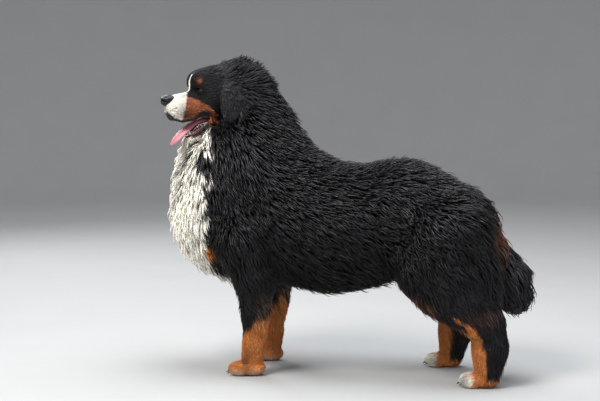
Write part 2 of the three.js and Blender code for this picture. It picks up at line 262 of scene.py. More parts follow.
EYE_LOOK = np.array([0.80, 0.58, 0.06])
EYE_LOOK = EYE_LOOK / np.linalg.norm(EYE_LOOK)
EYE_ACROSS = np.cross(EYE_LOOK, [0.0, 0.0, 1.0])
EYE_ACROSS = EYE_ACROSS / np.linalg.norm(EYE_ACROSS)
EYE_RISE = np.cross(EYE_ACROSS, EYE_LOOK)
LID_R = 14.6
SLIT = (12.5, 7.2)


def mirrored(Q, side):
    return Q * np.array([1.0, side, 1.0])


def eye_frame(Q, side):
    """Places relative to an eye: across towards the back corner, up, and out along its look."""
    p = mirrored(Q, side) - np.array(EYE_AT)
    return -(p @ EYE_ACROSS), p @ EYE_RISE, p @ EYE_LOOK, length_of(p)


def eye_slit(Q, side):
    """Below zero in the almond-shaped opening between the lids."""
    across, rise, out, _ = eye_frame(Q, side)
    tilt = rise + 0.12 * across
    reach = np.clip(1 - (across / SLIT[0]) ** 2, -1, 1)
    return np.maximum(np.abs(tilt + 0.4) - SLIT[1] * reach, -out)


def ear_plate(Q, side, half=3.2):
    """A bent rounded triangle of skin that hangs from the side of the skull."""
    p = mirrored(Q, side)
    f, out, u = p[:, 0], p[:, 1], p[:, 2]
    heights = [-97, -86, -74, -56, -32, -8, 12, 30]
    middle = np.interp(u, heights, [-13, -19, -25, -27, -27, -27, -30, -33])
    half_width = np.interp(u, heights, [2, 21, 32, 35, 32, 26, 19, 8])
    lie = np.interp(u, heights, [104, 104, 103, 101, 97, 89, 76, 58])
    bend = ((f - middle) / 34.0) ** 2
    flat = np.abs(out - (lie - 7 * bend)) * 0.9 - half
    rim = np.maximum((np.abs(f - middle) - half_width) * 0.8, np.maximum(u - 28, -96 - u))
    inner = np.minimum(np.maximum(flat, rim), 0)
    return np.sqrt(np.maximum(flat, 0) ** 2 + np.maximum(rim, 0) ** 2) + inner - 1.0


def head_flesh(Q):
    d = smooth(skull(Q, 4.5), muzzle(Q, 2.2), 22)
    d = carve(d, sockets(Q), 12)
    # Brow ridge, lids and the fold under the eye
    for s in (1, -1):
        _, rise, _, r = eye_frame(Q, s)
        lid = r - LID_R - 0.8 * np.exp(-((rise - 8) / 4) ** 2)
        d = smooth(d, lid, 7)
        d = smooth(d, limb(Q, (64, s * 30, 26, 7), (44, s * 48, 27, 8)), 12)
        pouch = np.abs(r - 18.5) - 0.9
        d = np.where(rise < 0, d - 0.8 * np.exp(-(pouch / 1.5) ** 2), d)
    # Furrow down the forehead, whisker pads and the split of the upper lip
    d = d + 2.2 * np.exp(-(Q[:, 1] / 5) ** 2) * step_up(Q[:, 0], 20, 60) * step_up(Q[:, 2], 30, 55)
    for s in (1, -1):
        d = smooth(d, egg(Q, (134, s * 17, -44), (22, 15, 22)), 8)
        # Upper lip: its rolled edge hangs over the gap of the mouth
        d = smooth(d, chain(Q, [(148, s * 17, -66, 5), (122, s * 35, -78, 6), (88, s * 41, -77, 6),
                                (56, s * 44, -68, 5), (30, s * 46, -78, 4)], 4), 7)
    split = np.maximum(np.abs(Q[:, 1]) - 0.9, Q[:, 2] + 20)
    d = carve(d, np.maximum(split, 150 - Q[:, 0]), 2.5)
    # Lower lip: a rolled black edge along the jaw, loose towards the corner of the mouth
    d = with_pair(smooth(d, jaw(Q, 2.2), 10), lambda s: chain(Q, [
        (102, s * 12, -128, 4), (78, s * 27, -118, 5), (48, s * 34, -106, 6), (30, s * 40, -92, 5)], 4), 6)
    return with_pair(d, lambda s: ear_plate(Q, s), 9)


def mouth_room(Q):
    """The open mouth: the gap and the hollow under the palate."""
    palate = limb(Q, (45, 0, -74, 15), (132, 0, -70, 15), 1.5)
    return smooth(mouth_gap(Q), palate, 5)


def gums(Q):
    lower = pair(lambda s: chain(Q, [(44, s * 21, -107, 5), (70, s * 19, -117, 5), (96, s * 11, -128, 5)], 4))
    return np.minimum.reduce([*lower, limb(Q, (98, 10, -129, 5), (98, -10, -129, 5))])


def eye_openings(Q):
    return np.minimum(*pair(lambda s: np.maximum(eye_slit(Q, s), eye_frame(Q, s)[3] - LID_R - 4)))


HEAD_REACH = 215.0


def near_head(P):
    """Which points are near enough for the head to matter, and where those are in its frame."""
    near = length_of(P - HEAD_AT) < HEAD_REACH
    return near, to_head(P[near])


def with_head(P, d, shape):
    """d with the head's own shape worked in."""
    near, Q = near_head(P)
    if near.any():
        d[near] = shape(Q, d[near])
    return d


# The coat's outside, and the skin under it
def coat_level(P):
    d = smooth(trunk(P), neck(P), 60)
    d = with_head(P, d, lambda Q, there: np.maximum(smooth(there, head_coat(Q), 18), -mouth_gap(Q)))
    d = smooth(d, limb(P, (-76, 0, 345, 64), (-56, 0, 244, 14), 0.9), 24)
    for _, leg, side in LEGS:
        d = smooth(d, smooth(upper_leg(P, leg, side), foot(P, leg, side), 18), 34)
    return smooth(d, chain(P, TAIL, 8), 6)


# How deep the skin lies under the coat, by height
LEG_DEPTH = ([0, 60, 120, 250, 400], [2.2, 3.0, 6.0, 13.0, 27.0])
NECK_DEPTH = ([620, 740, 860], [40, 32, 20])
TRUNK_DEPTH = 29


def head_skin(Q, d):
    d = carve(smooth(d, head_flesh(Q), 16), mouth_room(Q), 3)
    return carve(smooth(d, gums(Q), 3), eye_openings(Q), 1.2)


def skin_level(P):
    z = P[:, 2]
    d = smooth(trunk(P) + TRUNK_DEPTH, neck(P) + np.interp(z, *NECK_DEPTH), 60)
    depth = np.interp(z, *LEG_DEPTH)
    for _, leg, side in LEGS:
        d = smooth(d, smooth(upper_leg(P, leg, side), foot(P, leg, side), 12) + depth, 26)
    d = smooth(d, chain(P, TAIL_CORE, 10), 20)
    return np.maximum(with_head(P, d, head_skin), 1.0 - z)


def in_chunks(shape, P, size=150_000):
    out = np.empty(len(P))
    for i in range(0, len(P), size):
        out[i:i + size] = shape(P[i:i + size])
    return out


def gradient(shape, P, here, reach=0.6):
    g = np.empty_like(P)
    for m in range(3):
        moved = P.copy()
        moved[:, m] += reach
        g[:, m] = (in_chunks(shape, moved) - here) / reach
    return g


# A distance function as one closed mesh: a vertex in each cell that the surface crosses, and a
# four-sided face across each grid edge that it crosses. Only blocks near the surface are filled in.
BLOCK = 4
CORNERS = [np.array([i & 1, (i >> 1) & 1, i >> 2]) for i in range(8)]
LEADING, TRAILING = slice(1, None), slice(None, -1)


def spaced(*stretches):
    """Grid lines from stretches of (from, to, spacing), padded to whole blocks."""
    lines = [stretches[0][0]]
    for _, end, pitch in stretches:
        count = max(1, round((end - lines[-1]) / pitch))
        lines += list(np.linspace(lines[-1], end, count + 1)[1:])
    pitch = lines[-1] - lines[-2]
    while len(lines) % BLOCK != 1:
        lines.append(lines[-1] + pitch)
    return np.array(lines)


def on_axis(m, part):
    """An index that takes a part of axis m and all of the other two."""
    return tuple(part if k == m else slice(None) for k in range(3))


def spread_out(blocks):
    for m in range(3):
        blocks = np.repeat(blocks, BLOCK, m)
    return blocks


def surface(shape, axes, rounds=2):
    mids = [(a[:-1:BLOCK] + a[BLOCK::BLOCK]) / 2 for a in axes]
    halves = [(a[BLOCK::BLOCK] - a[:-1:BLOCK]) / 2 for a in axes]
    grid = np.stack(np.meshgrid(*mids, indexing="ij"), -1).reshape(-1, 3)
    at_mid = in_chunks(shape, grid).reshape([len(m) for m in mids])
    block_reach = np.sqrt(sum(half ** 2 for half in np.meshgrid(*halves, indexing="ij")))
    n = [len(a) for a in axes]
    field = np.ones(n, np.float32)
    near = np.zeros(n, bool)
    inner = tuple(slice(0, size - 1) for size in n)
    field[inner] = spread_out(at_mid)
    near[inner] = spread_out(np.abs(at_mid) < 1.25 * block_reach + 1)
    for m in range(3):
        near[on_axis(m, LEADING)] |= near[on_axis(m, TRAILING)].copy()
    where = np.argwhere(near)
    field[near] = in_chunks(shape, np.stack([axes[m][where[:, m]] for m in range(3)], -1))
    field[field == 0] = 1e-6
    inside = field < 0
    count = np.zeros([size - 1 for size in n], np.uint8)
    for c in CORNERS:
        count += inside[tuple(slice(o, size - 1 + o) for o, size in zip(c, n))]
    active = (count > 0) & (count < 8)
    cells = np.argwhere(active)
    number = np.full(count.shape, -1, np.int32)
    number[active] = np.arange(len(cells))
    # Each vertex starts at the mean of the places where the surface crosses its cell's edges
    total = np.zeros((len(cells), 3))
    hits = np.zeros(len(cells))
    steps = np.eye(3, dtype=int)
    for c in CORNERS:
        for m in np.flatnonzero(c == 0):
            a = field[tuple((cells + c).T)]
            b = field[tuple((cells + c + steps[m]).T)]
            cross = (a < 0) != (b < 0)
            place = np.tile(c.astype(float), (len(cells), 1))
            place[:, m] += np.where(cross, a / np.where(cross, a - b, 1), 0)
            total += place * cross[:, None]
            hits += cross
    index = cells + total / hits[:, None]
    V = np.stack([np.interp(index[:, m], np.arange(n[m]), axes[m]) for m in range(3)], -1)
    cell = np.stack([np.diff(axes[m])[cells[:, m]] for m in range(3)], -1).min(1)
    for _ in range(rounds):
        d = in_chunks(shape, V)
        g = gradient(shape, V, d)
        pace = d / np.maximum((g * g).sum(1), 0.25)
        V = V - np.clip(pace, -cell / 3, cell / 3)[:, None] * g
    quads = []
    for m in range(3):
        edges = np.argwhere(inside[on_axis(m, LEADING)] != inside[on_axis(m, TRAILING)])
        u, v = (m + 1) % 3, (m + 2) % 3
        whole = (edges[:, u] > 0) & (edges[:, v] > 0)
        edges = edges[whole & (edges[:, u] < n[u] - 1) & (edges[:, v] < n[v] - 1)]
        ring = [edges - steps[u] - steps[v], edges - steps[v], edges, edges - steps[u]]
        quad = np.stack([number[tuple(r.T)] for r in ring], -1)
        flip = ~inside[tuple(edges.T)]
        quad[flip] = quad[flip][:, ::-1]
        quads.append(quad)
    return V, np.concatenate(quads)


# Colours, linear
BLACK = np.array([0.0080, 0.0074, 0.0092])
RUST = np.array([0.64, 0.215, 0.045])
CHEEK = np.array([0.30, 0.076, 0.020])
RUST_DARK = np.array([0.17, 0.070, 0.034])
RUST_CAST = np.array([0.15, 0.060, 0.048])
GOLD_BROWN = np.array([0.28, 0.115, 0.032])
WISP = np.array([0.24, 0.135, 0.085])
CREAM = np.array([0.96, 0.92, 0.82])
PALE_TOE = np.array([0.74, 0.63, 0.52])
LIP = np.array([0.022, 0.019, 0.021])
LIP_GREY = np.array([0.16, 0.13, 0.13])
LINING = np.array([0.42, 0.125, 0.135])
MOUTH_BACK_SHADE = np.array([0.07, 0.018, 0.02])
EYE_RIM = np.array([0.012, 0.010, 0.010])
SANDY = np.array([0.62, 0.40, 0.25])
SUNNED = np.array([0.020, 0.009, 0.005])


def ripple(P, size, seed):
    """Smooth unevenness about size across, from -1 to 1."""
    rng = np.random.default_rng(seed)
    total = 0
    for _ in range(6):
        k = rng.normal(size=3)
        k *= 2 * math.pi / (size * np.linalg.norm(k) * rng.uniform(0.7, 1.5))
        total = total + np.sin(P @ k + rng.uniform(0, 2 * math.pi))
    return total / 2.6


def mix(base, colour, weight):
    w = np.clip(weight, 0, 1)[:, None]
    return base * (1 - w) + colour * w


def markings(P):
    """The coat's colour at points, as on every Bernese: black, with white and rust, and with painted shade
    and painted highlights laid over it.
    """
    x, y, z = P[:, 0], P[:, 1], P[:, 2]
    rough = ripple(P, 26, 3)
    fine = ripple(P, 9, 4)
    # Painted shade and highlight: blacker towards the belly where shade falls, and paler along the back where
    # the light from above falls
    shade = np.interp(z, [300, 400, 540], [0.3, 0.7, 1.0])
    depth = (1 + between(x, 90, 160, 480, 600) * (shade - 1)) * (1 + 0.45 * step_up(z, 540, 640))
    colour = BLACK * depth[:, None]
    # Lower forelegs, with a border that rises to the rear and higher inside
    fore = step_up(150 - x, 0, 30)
    border = 122 + 0.95 * np.clip(x + 32, -10, 80) + 30 * step_up(TRACK - np.abs(y), 0, 30)
    colour = mix(colour, RUST, fore * step_up(border + 7 * rough - z, -8, 8))
    wisps = step_up(x, 12, 36) * step_up(285 - z, 0, 50) * step_up(TRACK + 72 - np.abs(y), -10, 10)
    colour = mix(colour, WISP, 0.9 * fore * wisps * step_up(fine, -0.4, 0.5) * step_up(z - border, -10, 20))
    colour = mix(colour, PALE_TOE, 0.45 * fore * step_up(20 + 5 * fine - z, -8, 6))
    # Hind legs: rust in front from the hock down and on the heel, white toes, rust inside the thigh
    hind = step_up(x, 380, 420)
    near_edge = ([60, 110, 150, 185, 215], [0.05, 0.15, 0.4, 0.75, 1.1])
    far_edge = ([60, 120, 200, 260], [0.0, 0.1, 0.45, 0.9])
    for leg, s, stripe_edge in ((HIND_LEFT, -1, near_edge), (HIND_RIGHT, 1, far_edge)):
        here = hind * (np.sign(y) == s)
        middle, apart, radius = leg_at(leg, z)
        front = (middle - x) / radius
        inside = step_up(apart - np.abs(y), 18, 48)
        edge = np.interp(z, *stripe_edge)
        stripe = step_up(front - edge + 0.12 * rough, -0.1, 0.15) * step_up(238 + 14 * rough - z, -14, 30)
        if leg is HIND_LEFT:
            stripe = stripe * (1 - step_up(front, 1.15, 1.3) * step_up(z, 150, 190))
        colour = mix(colour, RUST, here * np.maximum(stripe, step_up(26 + 6 * rough - z, -8, 8)))
        fringe = inside * step_up(200 + 16 * rough - z, -30, 25) * step_up(front, -0.2, 0.3)
        colour = mix(colour, RUST, 0.8 * here * fringe)
        toe_line = leg["paw"][0] - 24
        white = step_up(toe_line + 5 * fine - x, -6, 8) * step_up(40 + 4 * rough - z, -6, 6)
        colour = mix(colour, CREAM, here * white)
    # Flank fringe, under the tail, and a reddish cast in the thigh
    lower_edge = np.interp(x, [380, 430, 500, 570], [330, 300, 262, 236])
    flank = between(x, 400, 440, 540, 590) * step_up(lower_edge - z, -26, 8)
    flank = flank * step_up(z, 190, 220) * step_up(fine + 0.6 * rough, -0.7, 0.5)
    colour = mix(colour, GOLD_BROWN, 0.75 * flank)
    breech = np.exp(-((x - 738) / 24) ** 2 - ((z - 440) / 60) ** 2 - (y / 60) ** 2)
    colour = mix(colour, RUST_DARK * 1.3, 0.7 * breech)
    # Painted highlight: the upper rear side of the tail made lighter where it catches the light
    colour = colour * (1 + 1.6 * step_up(x, 735, 775) * step_up(z, 250, 300))[:, None]
    cast = np.exp(-((x - 712) / 36) ** 2 - ((z - 224) / 26) ** 2) * step_up(fine, -0.8, 0.4)
    colour = mix(colour, RUST_CAST, 0.9 * cast)
    # Bib, with a rust patch on each side
    turn = np.degrees(np.arctan2(np.abs(y + 10), -(x + 82)))
    reach = np.interp(z, [290, 360, 480, 560, 625, 650, 700, 760], [38, 60, 71, 70, 72, 54, 44, 36])
    bib = between(z, 285, 330, 770, 800) * step_up(reach + 4 * rough + 2 * fine - turn, -2.5, 2.5)
    patch = np.exp(-((x + 136) / 22) ** 2 - ((z - 398) / 26) ** 2) * step_up(np.abs(y), 60, 90)
    patch = step_up(patch, 0.3, 0.6)
    colour = mix(colour, RUST, 0.9 * patch)
    colour = mix(colour, CREAM, bib * (1 - patch))
    # Pale tuft between the forelegs, its cream dimmed a little as painted shade between the legs
    tuft = step_up(335 - z, 0, 20) * step_up(z, 215, 235) * step_up(66 - np.abs(y), -6, 12)
    colour = mix(colour, CREAM * 0.85, tuft * step_up(-24 - x, -8, 12))
    return head_markings(P, colour)


def head_markings(P, colour):
    near, Q = near_head(P)
    f, u = Q[:, 0], Q[:, 2]
    out = np.abs(Q[:, 1])
    rough = ripple(Q, 14, 5)
    fine = ripple(Q, 5, 6)
    on_head = step_up(f, -6, 6)
    there = colour[near] * (1 - 0.5 * on_head)[:, None]
    # Chin and throat
    rear = np.interp(u, [-190, -150, -120, -100], [58, 50, 44, 40])
    under = step_up(-102 + 3 * rough - u, -3, 4) * step_up(f - rear + 3 * rough, -5, 5)
    there = mix(there, CREAM, under)
    low_lip = step_up(13 - mouth_gap(Q), -2, 2) * step_up(-98 - u, 0, 6) * step_up(f, 20, 30)
    there = mix(there, LIP, low_lip * (1 - step_up(f, 92, 104)))
    # Rust cheek from the white of the muzzle round the corner of the mouth
    top = np.interp(f, [14, 16, 28, 45, 54, 71, 92, 112], [-92, -79, -60, -40, -36, -21, -7, -4])
    cheek = step_up(top + 2.5 * rough - u, -2.5, 2.5) * step_up(u, -106, -99) * step_up(f, 12, 18)
    there = mix(there, CHEEK, on_head * cheek * step_up(out, 8, 16))
    # Spot over each eye
    spot = np.hypot(f - 56, (u - 34) * 0.8) + np.abs(out - 34) * 0.3
    there = mix(there, CHEEK, 0.85 * step_up(12 + 1.5 * rough - spot, -3, 3) * step_up(out, 12, 18))
    # White muzzle, and the blaze up the forehead
    rear = np.interp(u, [-84, -73, -46, -5.5, 6.5, 16], [128, 124, 114, 97, 92, 86])
    there = mix(there, CREAM * 0.9, step_up(f - rear + 2.0 * rough, -2.5, 2.5) * step_up(u, -96, -90))
    stripe = np.interp(f, [40, 52, 64, 80, 94], [0, 4.5, 6, 8, 15])
    blaze = step_up(stripe + 1.0 * rough - out, -1.5, 1.5) * step_up(u, 2, 8) * step_up(f, 34, 42)
    there = mix(there, CREAM, blaze)
    # Black edge of the upper lip, grey where it meets the nose
    hem = np.interp(f, [30, 40, 65, 92, 111, 128, 146, 156, 164],
                    [-70, -65, -64, -79, -83, -82, -74, -61, -48])
    band = step_up(hem + 6.5 + 1.5 * fine - u, -1.5, 1.5) * step_up(u - hem, -16, -12) * step_up(f, 34, 44)
    there = mix(there, LIP, band * step_up(-28 - u, 0, 8))
    # Painted sheen: the ears are made lighter where they catch the light
    flap = np.minimum(ear_plate(Q, 1), ear_plate(Q, -1))
    there = there * (1 + 0.9 * step_up(4 - flap, 0, 3))[:, None]
    # Freckles on the chin and by the whiskers
    freckle = step_up(ripple(Q, 6.5, 7), 0.62, 0.8)
    chin = step_up(-108 - u, 0, 8) * step_up(f, 50, 70)
    there = mix(there, LIP_GREY, 0.75 * freckle * chin)
    pad = step_up(f, 128, 140) * step_up(-26 - u, 0, 10) * step_up(-ripple(Q, 8, 8), 0.1, 0.6)
    there = mix(there, LIP_GREY, 0.65 * pad * step_up(u, -100, -80))
    colour[near] = there
    return colour


def bare_parts(P, colour):
    """Lips, mouth lining and eye rims on the skin. Returns the colours and how moist they are."""
    moist = np.zeros(len(P))
    near, Q = near_head(P)
    gap = mouth_room(Q)
    there = colour[near]
    f = Q[:, 0]
    on_face = step_up(f, 14, 22)
    edge = 7.0 - 3.0 * step_up(f, 132, 150) + 1.2 * ripple(Q, 8, 9)
    lip = step_up(edge - gap, -1.2, 1.2) * on_face
    there = mix(there, LIP, lip)
    # The lip is pinker in front
    pink_front = step_up(f, 136, 150) * step_up(ripple(Q, 10, 12), -0.2, 0.5) * lip
    there = mix(there, LINING * 0.8, 0.5 * pink_front)
    lining = step_up(0.9 - gap, -0.6, 0.6) * on_face
    there = mix(there, LINING, lining * (0.75 + 0.25 * ripple(Q, 12, 10)))
    # Painted shade: the lining darkens towards the back of the mouth
    there = mix(there, MOUTH_BACK_SHADE, lining * step_up(66 - f, 0, 26))
    there = mix(there, LINING * 1.15, step_up(1.0 - gums(Q), -0.6, 0.6) * on_face)
    wet = np.maximum(0.75 * lip, lining)
    for s in (1, -1):
        rim = step_up(2.6 - eye_slit(Q, s), -0.8, 0.8) * step_up(LID_R + 4 - eye_frame(Q, s)[3], 0, 2)
        there = mix(there, EYE_RIM, rim)
        wet = np.maximum(wet, 0.7 * rim)
    # Leather round the nose
    colour[near] = mix(there, LIP, step_up(2.6 - nose_shape(Q), -0.8, 0.8))
    moist[near] = wet
    # Soles
    return mix(colour, LIP, step_up(5 - P[:, 2], -1, 1.5)), moist


def nose_shape(Q):
    return blend([
        egg(Q, (153, 0, -8), (19, 22, 14)),
        egg(Q, (164, 0, -14), (10, 15, 13)),
        *pair(lambda s: egg(Q, (148, s * 14, -10), (15, 11, 11))),
    ], 6)


def nose_detail(P):
    """The nose leather with its nostrils and the groove between them."""
    Q = to_head(P)
    d = nose_shape(Q)
    for s in (1, -1):
        hole = smooth(limb(Q, (176, s * 8.5, -9, 5.4), (159, s * 7.5, -9, 3.0)),
                      limb(Q, (170, s * 12, -12, 4.0), (156, s * 22.5, -15, 2.3)), 2)
        d = carve(d, hole, 2.0)
        d = smooth(d, limb(Q, (169, s * 12, -3, 3.2), (158, s * 19, -8, 3.0)), 3)
    groove = np.maximum(np.abs(Q[:, 1]) - 0.5, Q[:, 2] + 4)
    return carve(d, np.maximum(groove, 163 - Q[:, 0]), 2.4)


# Meshes and materials
def metres(P):
    return (np.asarray(P) - CENTRE) / 1000


def wrapped(rings, sides):
    """Four-sided faces round a stack of rings of points."""
    grid = np.arange(rings * sides).reshape(rings, sides)
    ahead = np.roll(grid, -1, 1)
    return np.stack([grid[:-1], ahead[:-1], ahead[1:], grid[1:]], -1).reshape(-1, 4)


def halved(quads):
    return np.concatenate([quads[:, [0, 1, 2]], quads[:, [0, 2, 3]]])


def closed_rings(rings, sides):
    """Triangles round a stack of rings and over its two ends, whose points come after the rings."""
    faces = [halved(wrapped(rings, sides))]
    last = (rings - 1) * sides
    for end, first, order in ((rings * sides, 0, -1), (rings * sides + 1, last, 1)):
        ring = first + np.arange(sides)
        cap = np.stack([ring, np.roll(ring, -1), np.full(sides, end)], -1)
        faces.append(cap[:, ::order])
    return np.concatenate(faces)


def add_object(name, data):
    thing = bpy.data.objects.new(name, data)
    bpy.context.collection.objects.link(thing)
    return thing


def make_mesh(name, V, faces, material, colours=None, moist=None, uv=None):
    """A smooth-shaded object from arrays. V is in the dog's frame and uv is one pair per vertex."""
    mesh = bpy.data.meshes.new(name)
    corners = faces.shape[1]
    mesh.vertices.add(len(V))
    mesh.vertices.foreach_set("co", metres(V).astype(np.float32).ravel())
    mesh.loops.add(faces.size)
    mesh.loops.foreach_set("vertex_index", faces.astype(np.int32).ravel())
    mesh.polygons.add(len(faces))
    mesh.polygons.foreach_set("loop_start", np.arange(len(faces), dtype=np.int32) * corners)
    if colours is not None:
        layer = mesh.color_attributes.new("coat_colour", "FLOAT_COLOR", "POINT")
        rgba = np.ones((len(V), 4), np.float32)
        rgba[:, :3] = colours
        layer.data.foreach_set("color", rgba.ravel())
    if moist is not None:
        layer = mesh.attributes.new("moist", "FLOAT", "POINT")
        layer.data.foreach_set("value", np.asarray(moist, np.float32))
    if uv is not None:
        layer = mesh.uv_layers.new(name="OFBake")
        layer.data.foreach_set("uv", uv[faces.ravel()].astype(np.float32).ravel())
    mesh.update(calc_edges=True)
    mesh.validate()
    mesh.shade_smooth()
    mesh.materials.append(material)
    return add_object(name, mesh)


def new_material(name, **sockets):
    material = bpy.data.materials.new(name)
    material.use_nodes = True
    shader = material.node_tree.nodes["Principled BSDF"]
    for socket, value in sockets.items():
        shader.inputs[socket.replace("_", " ")].default_value = value
    return material, material.node_tree, shader


def add_node(tree, kind, links=(), **settings):
    node = tree.nodes.new(kind)
    for key, value in settings.items():
        if key in node.inputs:
            node.inputs[key].default_value = value
        else:
            setattr(node, key, value)
    for socket, source in dict(links).items():
        tree.links.new(source, node.inputs[socket])
    return node


def noise(tree, scale, detail):
    """Unevenness fixed to the object, with so many grains to the metre."""
    place = add_node(tree, "ShaderNodeTexCoord").outputs["Object"]
    return add_node(tree, "ShaderNodeTexNoise", {"Vector": place}, Scale=scale, Detail=detail).outputs["Fac"]


def ranged(tree, source, low, high, start=0.3, end=0.7):
    node = add_node(tree, "ShaderNodeMapRange", {"Value": source})
    for socket, value in (("From Min", start), ("From Max", end), ("To Min", low), ("To Max", high)):
        node.inputs[socket].default_value = value
    return node.outputs["Result"]


def link_ramp(tree, shader, factor, dark, light):
    ramp = add_node(tree, "ShaderNodeValToRGB", {"Fac": factor})
    for element, colour in zip(ramp.color_ramp.elements, (dark, light)):
        element.color = (*colour, 1)
    tree.links.new(ramp.outputs["Color"], shader.inputs["Base Color"])


def bump(tree, shader, height, strength, distance):
    node = add_node(tree, "ShaderNodeBump", {"Height": height}, Strength=strength, Distance=distance)
    tree.links.new(node.outputs["Normal"], shader.inputs["Normal"])


def tinted_material(name, tones, rough, relief=None, moist=False, **sockets):
    """A finish that takes its colour from the piece. Each of tones is a noise that makes the colour
    uneven: its scale, its detail and what it multiplies by at least and at most. The first one also
    drives the roughness, where moisture doesn't, and the relief, a strength and a depth."""
    material, tree, shader = new_material(name, **sockets)
    colour = add_node(tree, "ShaderNodeAttribute", attribute_name="coat_colour").outputs["Color"]
    grains = [noise(tree, scale, detail) for scale, detail, _, _ in tones]
    for grain, (_, _, low, high) in zip(grains, tones):
        factor = ranged(tree, grain, low, high)
        scaled = add_node(tree, "ShaderNodeVectorMath", {0: colour, "Scale": factor}, operation="SCALE")
        colour = scaled.outputs[0]
    tree.links.new(colour, shader.inputs["Base Color"])
    if moist:
        wet = add_node(tree, "ShaderNodeAttribute", attribute_name="moist").outputs["Fac"]
        roughness = ranged(tree, wet, *rough, 0.0, 1.0)
    else:
        roughness = ranged(tree, grains[0], *rough)
    tree.links.new(roughness, shader.inputs["Roughness"])
    if relief:
        bump(tree, shader, grains[0], *relief)
    return material


def nose_material():
    material, tree, shader = new_material("nose_leather", Specular_IOR_Level=0.28, Coat_Weight=0.05,
                                          Coat_Roughness=0.3)
    place = add_node(tree, "ShaderNodeTexCoord").outputs["Object"]
    pebbles = add_node(tree, "ShaderNodeTexVoronoi", {"Vector": place}, Scale=620.0)
    uneven = noise(tree, 120, 4.0)
    link_ramp(tree, shader, uneven, (0.005, 0.005, 0.005), (0.018, 0.016, 0.017))
    tree.links.new(ranged(tree, uneven, 0.28, 0.5), shader.inputs["Roughness"])
    bump(tree, shader, pebbles.outputs["Distance"], 0.45, 0.0006)
    return material


# Lie of the coat. A row is a place in three numbers, the way the hair runs there in three, its
# length and how wavy it is. Places with a sideways value stand for both sides, but a hind leg has
# its own. The head's are in its own frame and equally wavy.
BODY_LIE = [
    (200, 0, 655, 1, 0, -0.1, 55, 1.0), (110, 0, 700, 0.9, 0, -0.5, 60, 0.8),
    (381, 0, 665, 1, 0, 0.0, 55, 1.0), (515, 0, 650, 1, 0, -0.2, 60, 1.0),
    (620, 0, 600, 0.8, 0, -0.6, 65, 1.0), (120, 150, 560, 0.85, 0, -0.5, 65, 0.6),
    (150, 165, 400, 0.8, 0, -0.6, 70, 0.9), (340, 140, 520, 0.9, 0, -0.4, 62, 1.0),
    (330, 140, 380, 0.8, 0, -0.6, 65, 1.0), (200, 0, 270, 0.9, 0, -0.3, 60, 0.6),
    (400, 0, 320, 0.9, 0, -0.3, 55, 0.6), (540, 150, 520, 0.8, 0, -0.6, 66, 1.0),
    (600, 190, 400, 0.6, 0, -0.8, 70, 1.0), (730, 120, 400, 0.35, 0, -0.95, 80, 0.8),
    (-20, 180, 520, 0.55, 0, -0.85, 62, 0.4), (-20, 190, 400, 0.4, 0, -0.9, 58, 0.4),
    (40, 170, 300, 0.5, 0, -0.85, 50, 0.6), (-270, 0, 560, 0, 0, -1, 72, 0.6),
    (-250, 90, 480, 0.25, 0.1, -1, 70, 0.6), (-220, 0, 380, 0.5, 0, -0.85, 68, 0.6),
    (-66, 0, 300, 0.25, 0, -1, 92, 0.4), (40, 0, 280, 0.9, 0, -0.4, 56, 0.5),
    (-90, 120, 700, 0.45, 0, -0.9, 74, 0.5), (-230, -40, 700, -0.1, 0, -1, 70, 0.5),
    (40, 0, 850, 0.75, 0, -0.65, 56, 0.4), (90, 0, 740, 0.8, 0, -0.6, 58, 0.5),
    (-50, -10, 975, 0.15, 0, 1, 44, 0.3), (0, -10, 930, 0.85, 0, 0.3, 46, 0.3),
    (-40, 118, 200, 0, 0, -1, 18, 0.2), (0, 160, 180, 0.15, 0, -1, 20, 0.2),
    (45, 125, 200, 0.45, 0, -0.9, 44, 0.5), (-33, 118, 90, 0, 0, -1, 11, 0.1),
    (0, 150, 90, 0.1, 0, -1, 12, 0.1), (33, 118, 95, 0.2, 0, -1, 18, 0.2),
    (-50, 118, 30, -0.8, 0, -0.45, 8, 0.0), (0, 150, 25, -0.4, 0, -0.8, 9, 0.0),
    (35, 118, 40, 0, 0, -1, 14, 0.1), (720, 0, 470, 0.35, 0, -0.95, 76, 0.8),
    (775, 0, 350, 0.4, 0, -0.9, 84, 0.8), (800, 0, 250, 0.1, 0, -1, 80, 0.6),
]
HIND_LIE = {
    -1: [(500, 130, 300, 0.45, 0, -0.9, 46, 0.5), (650, 150, 230, 0.5, 0, -0.85, 36, 0.5),
         (770, 125, 200, 0.35, 0, -0.95, 42, 0.6), (690, 120, 120, 0, 0, -1, 12, 0.1),
         (735, 165, 110, 0.1, 0, -1, 22, 0.2), (785, 125, 90, 0.1, 0, -1, 32, 0.4),
         (660, 128, 30, -0.8, 0, -0.45, 9, 0.0)],
    1: [(430, 130, 280, 0.45, 0, -0.9, 46, 0.5), (560, 160, 230, 0.5, 0, -0.85, 36, 0.5),
        (640, 150, 200, 0.35, 0, -0.95, 42, 0.6), (560, 145, 120, 0, 0, -1, 12, 0.1),
        (595, 185, 110, 0.1, 0, -1, 22, 0.2), (645, 148, 90, 0.1, 0, -1, 32, 0.4),
        (520, 150, 30, -0.8, 0, -0.45, 9, 0.0)],
}
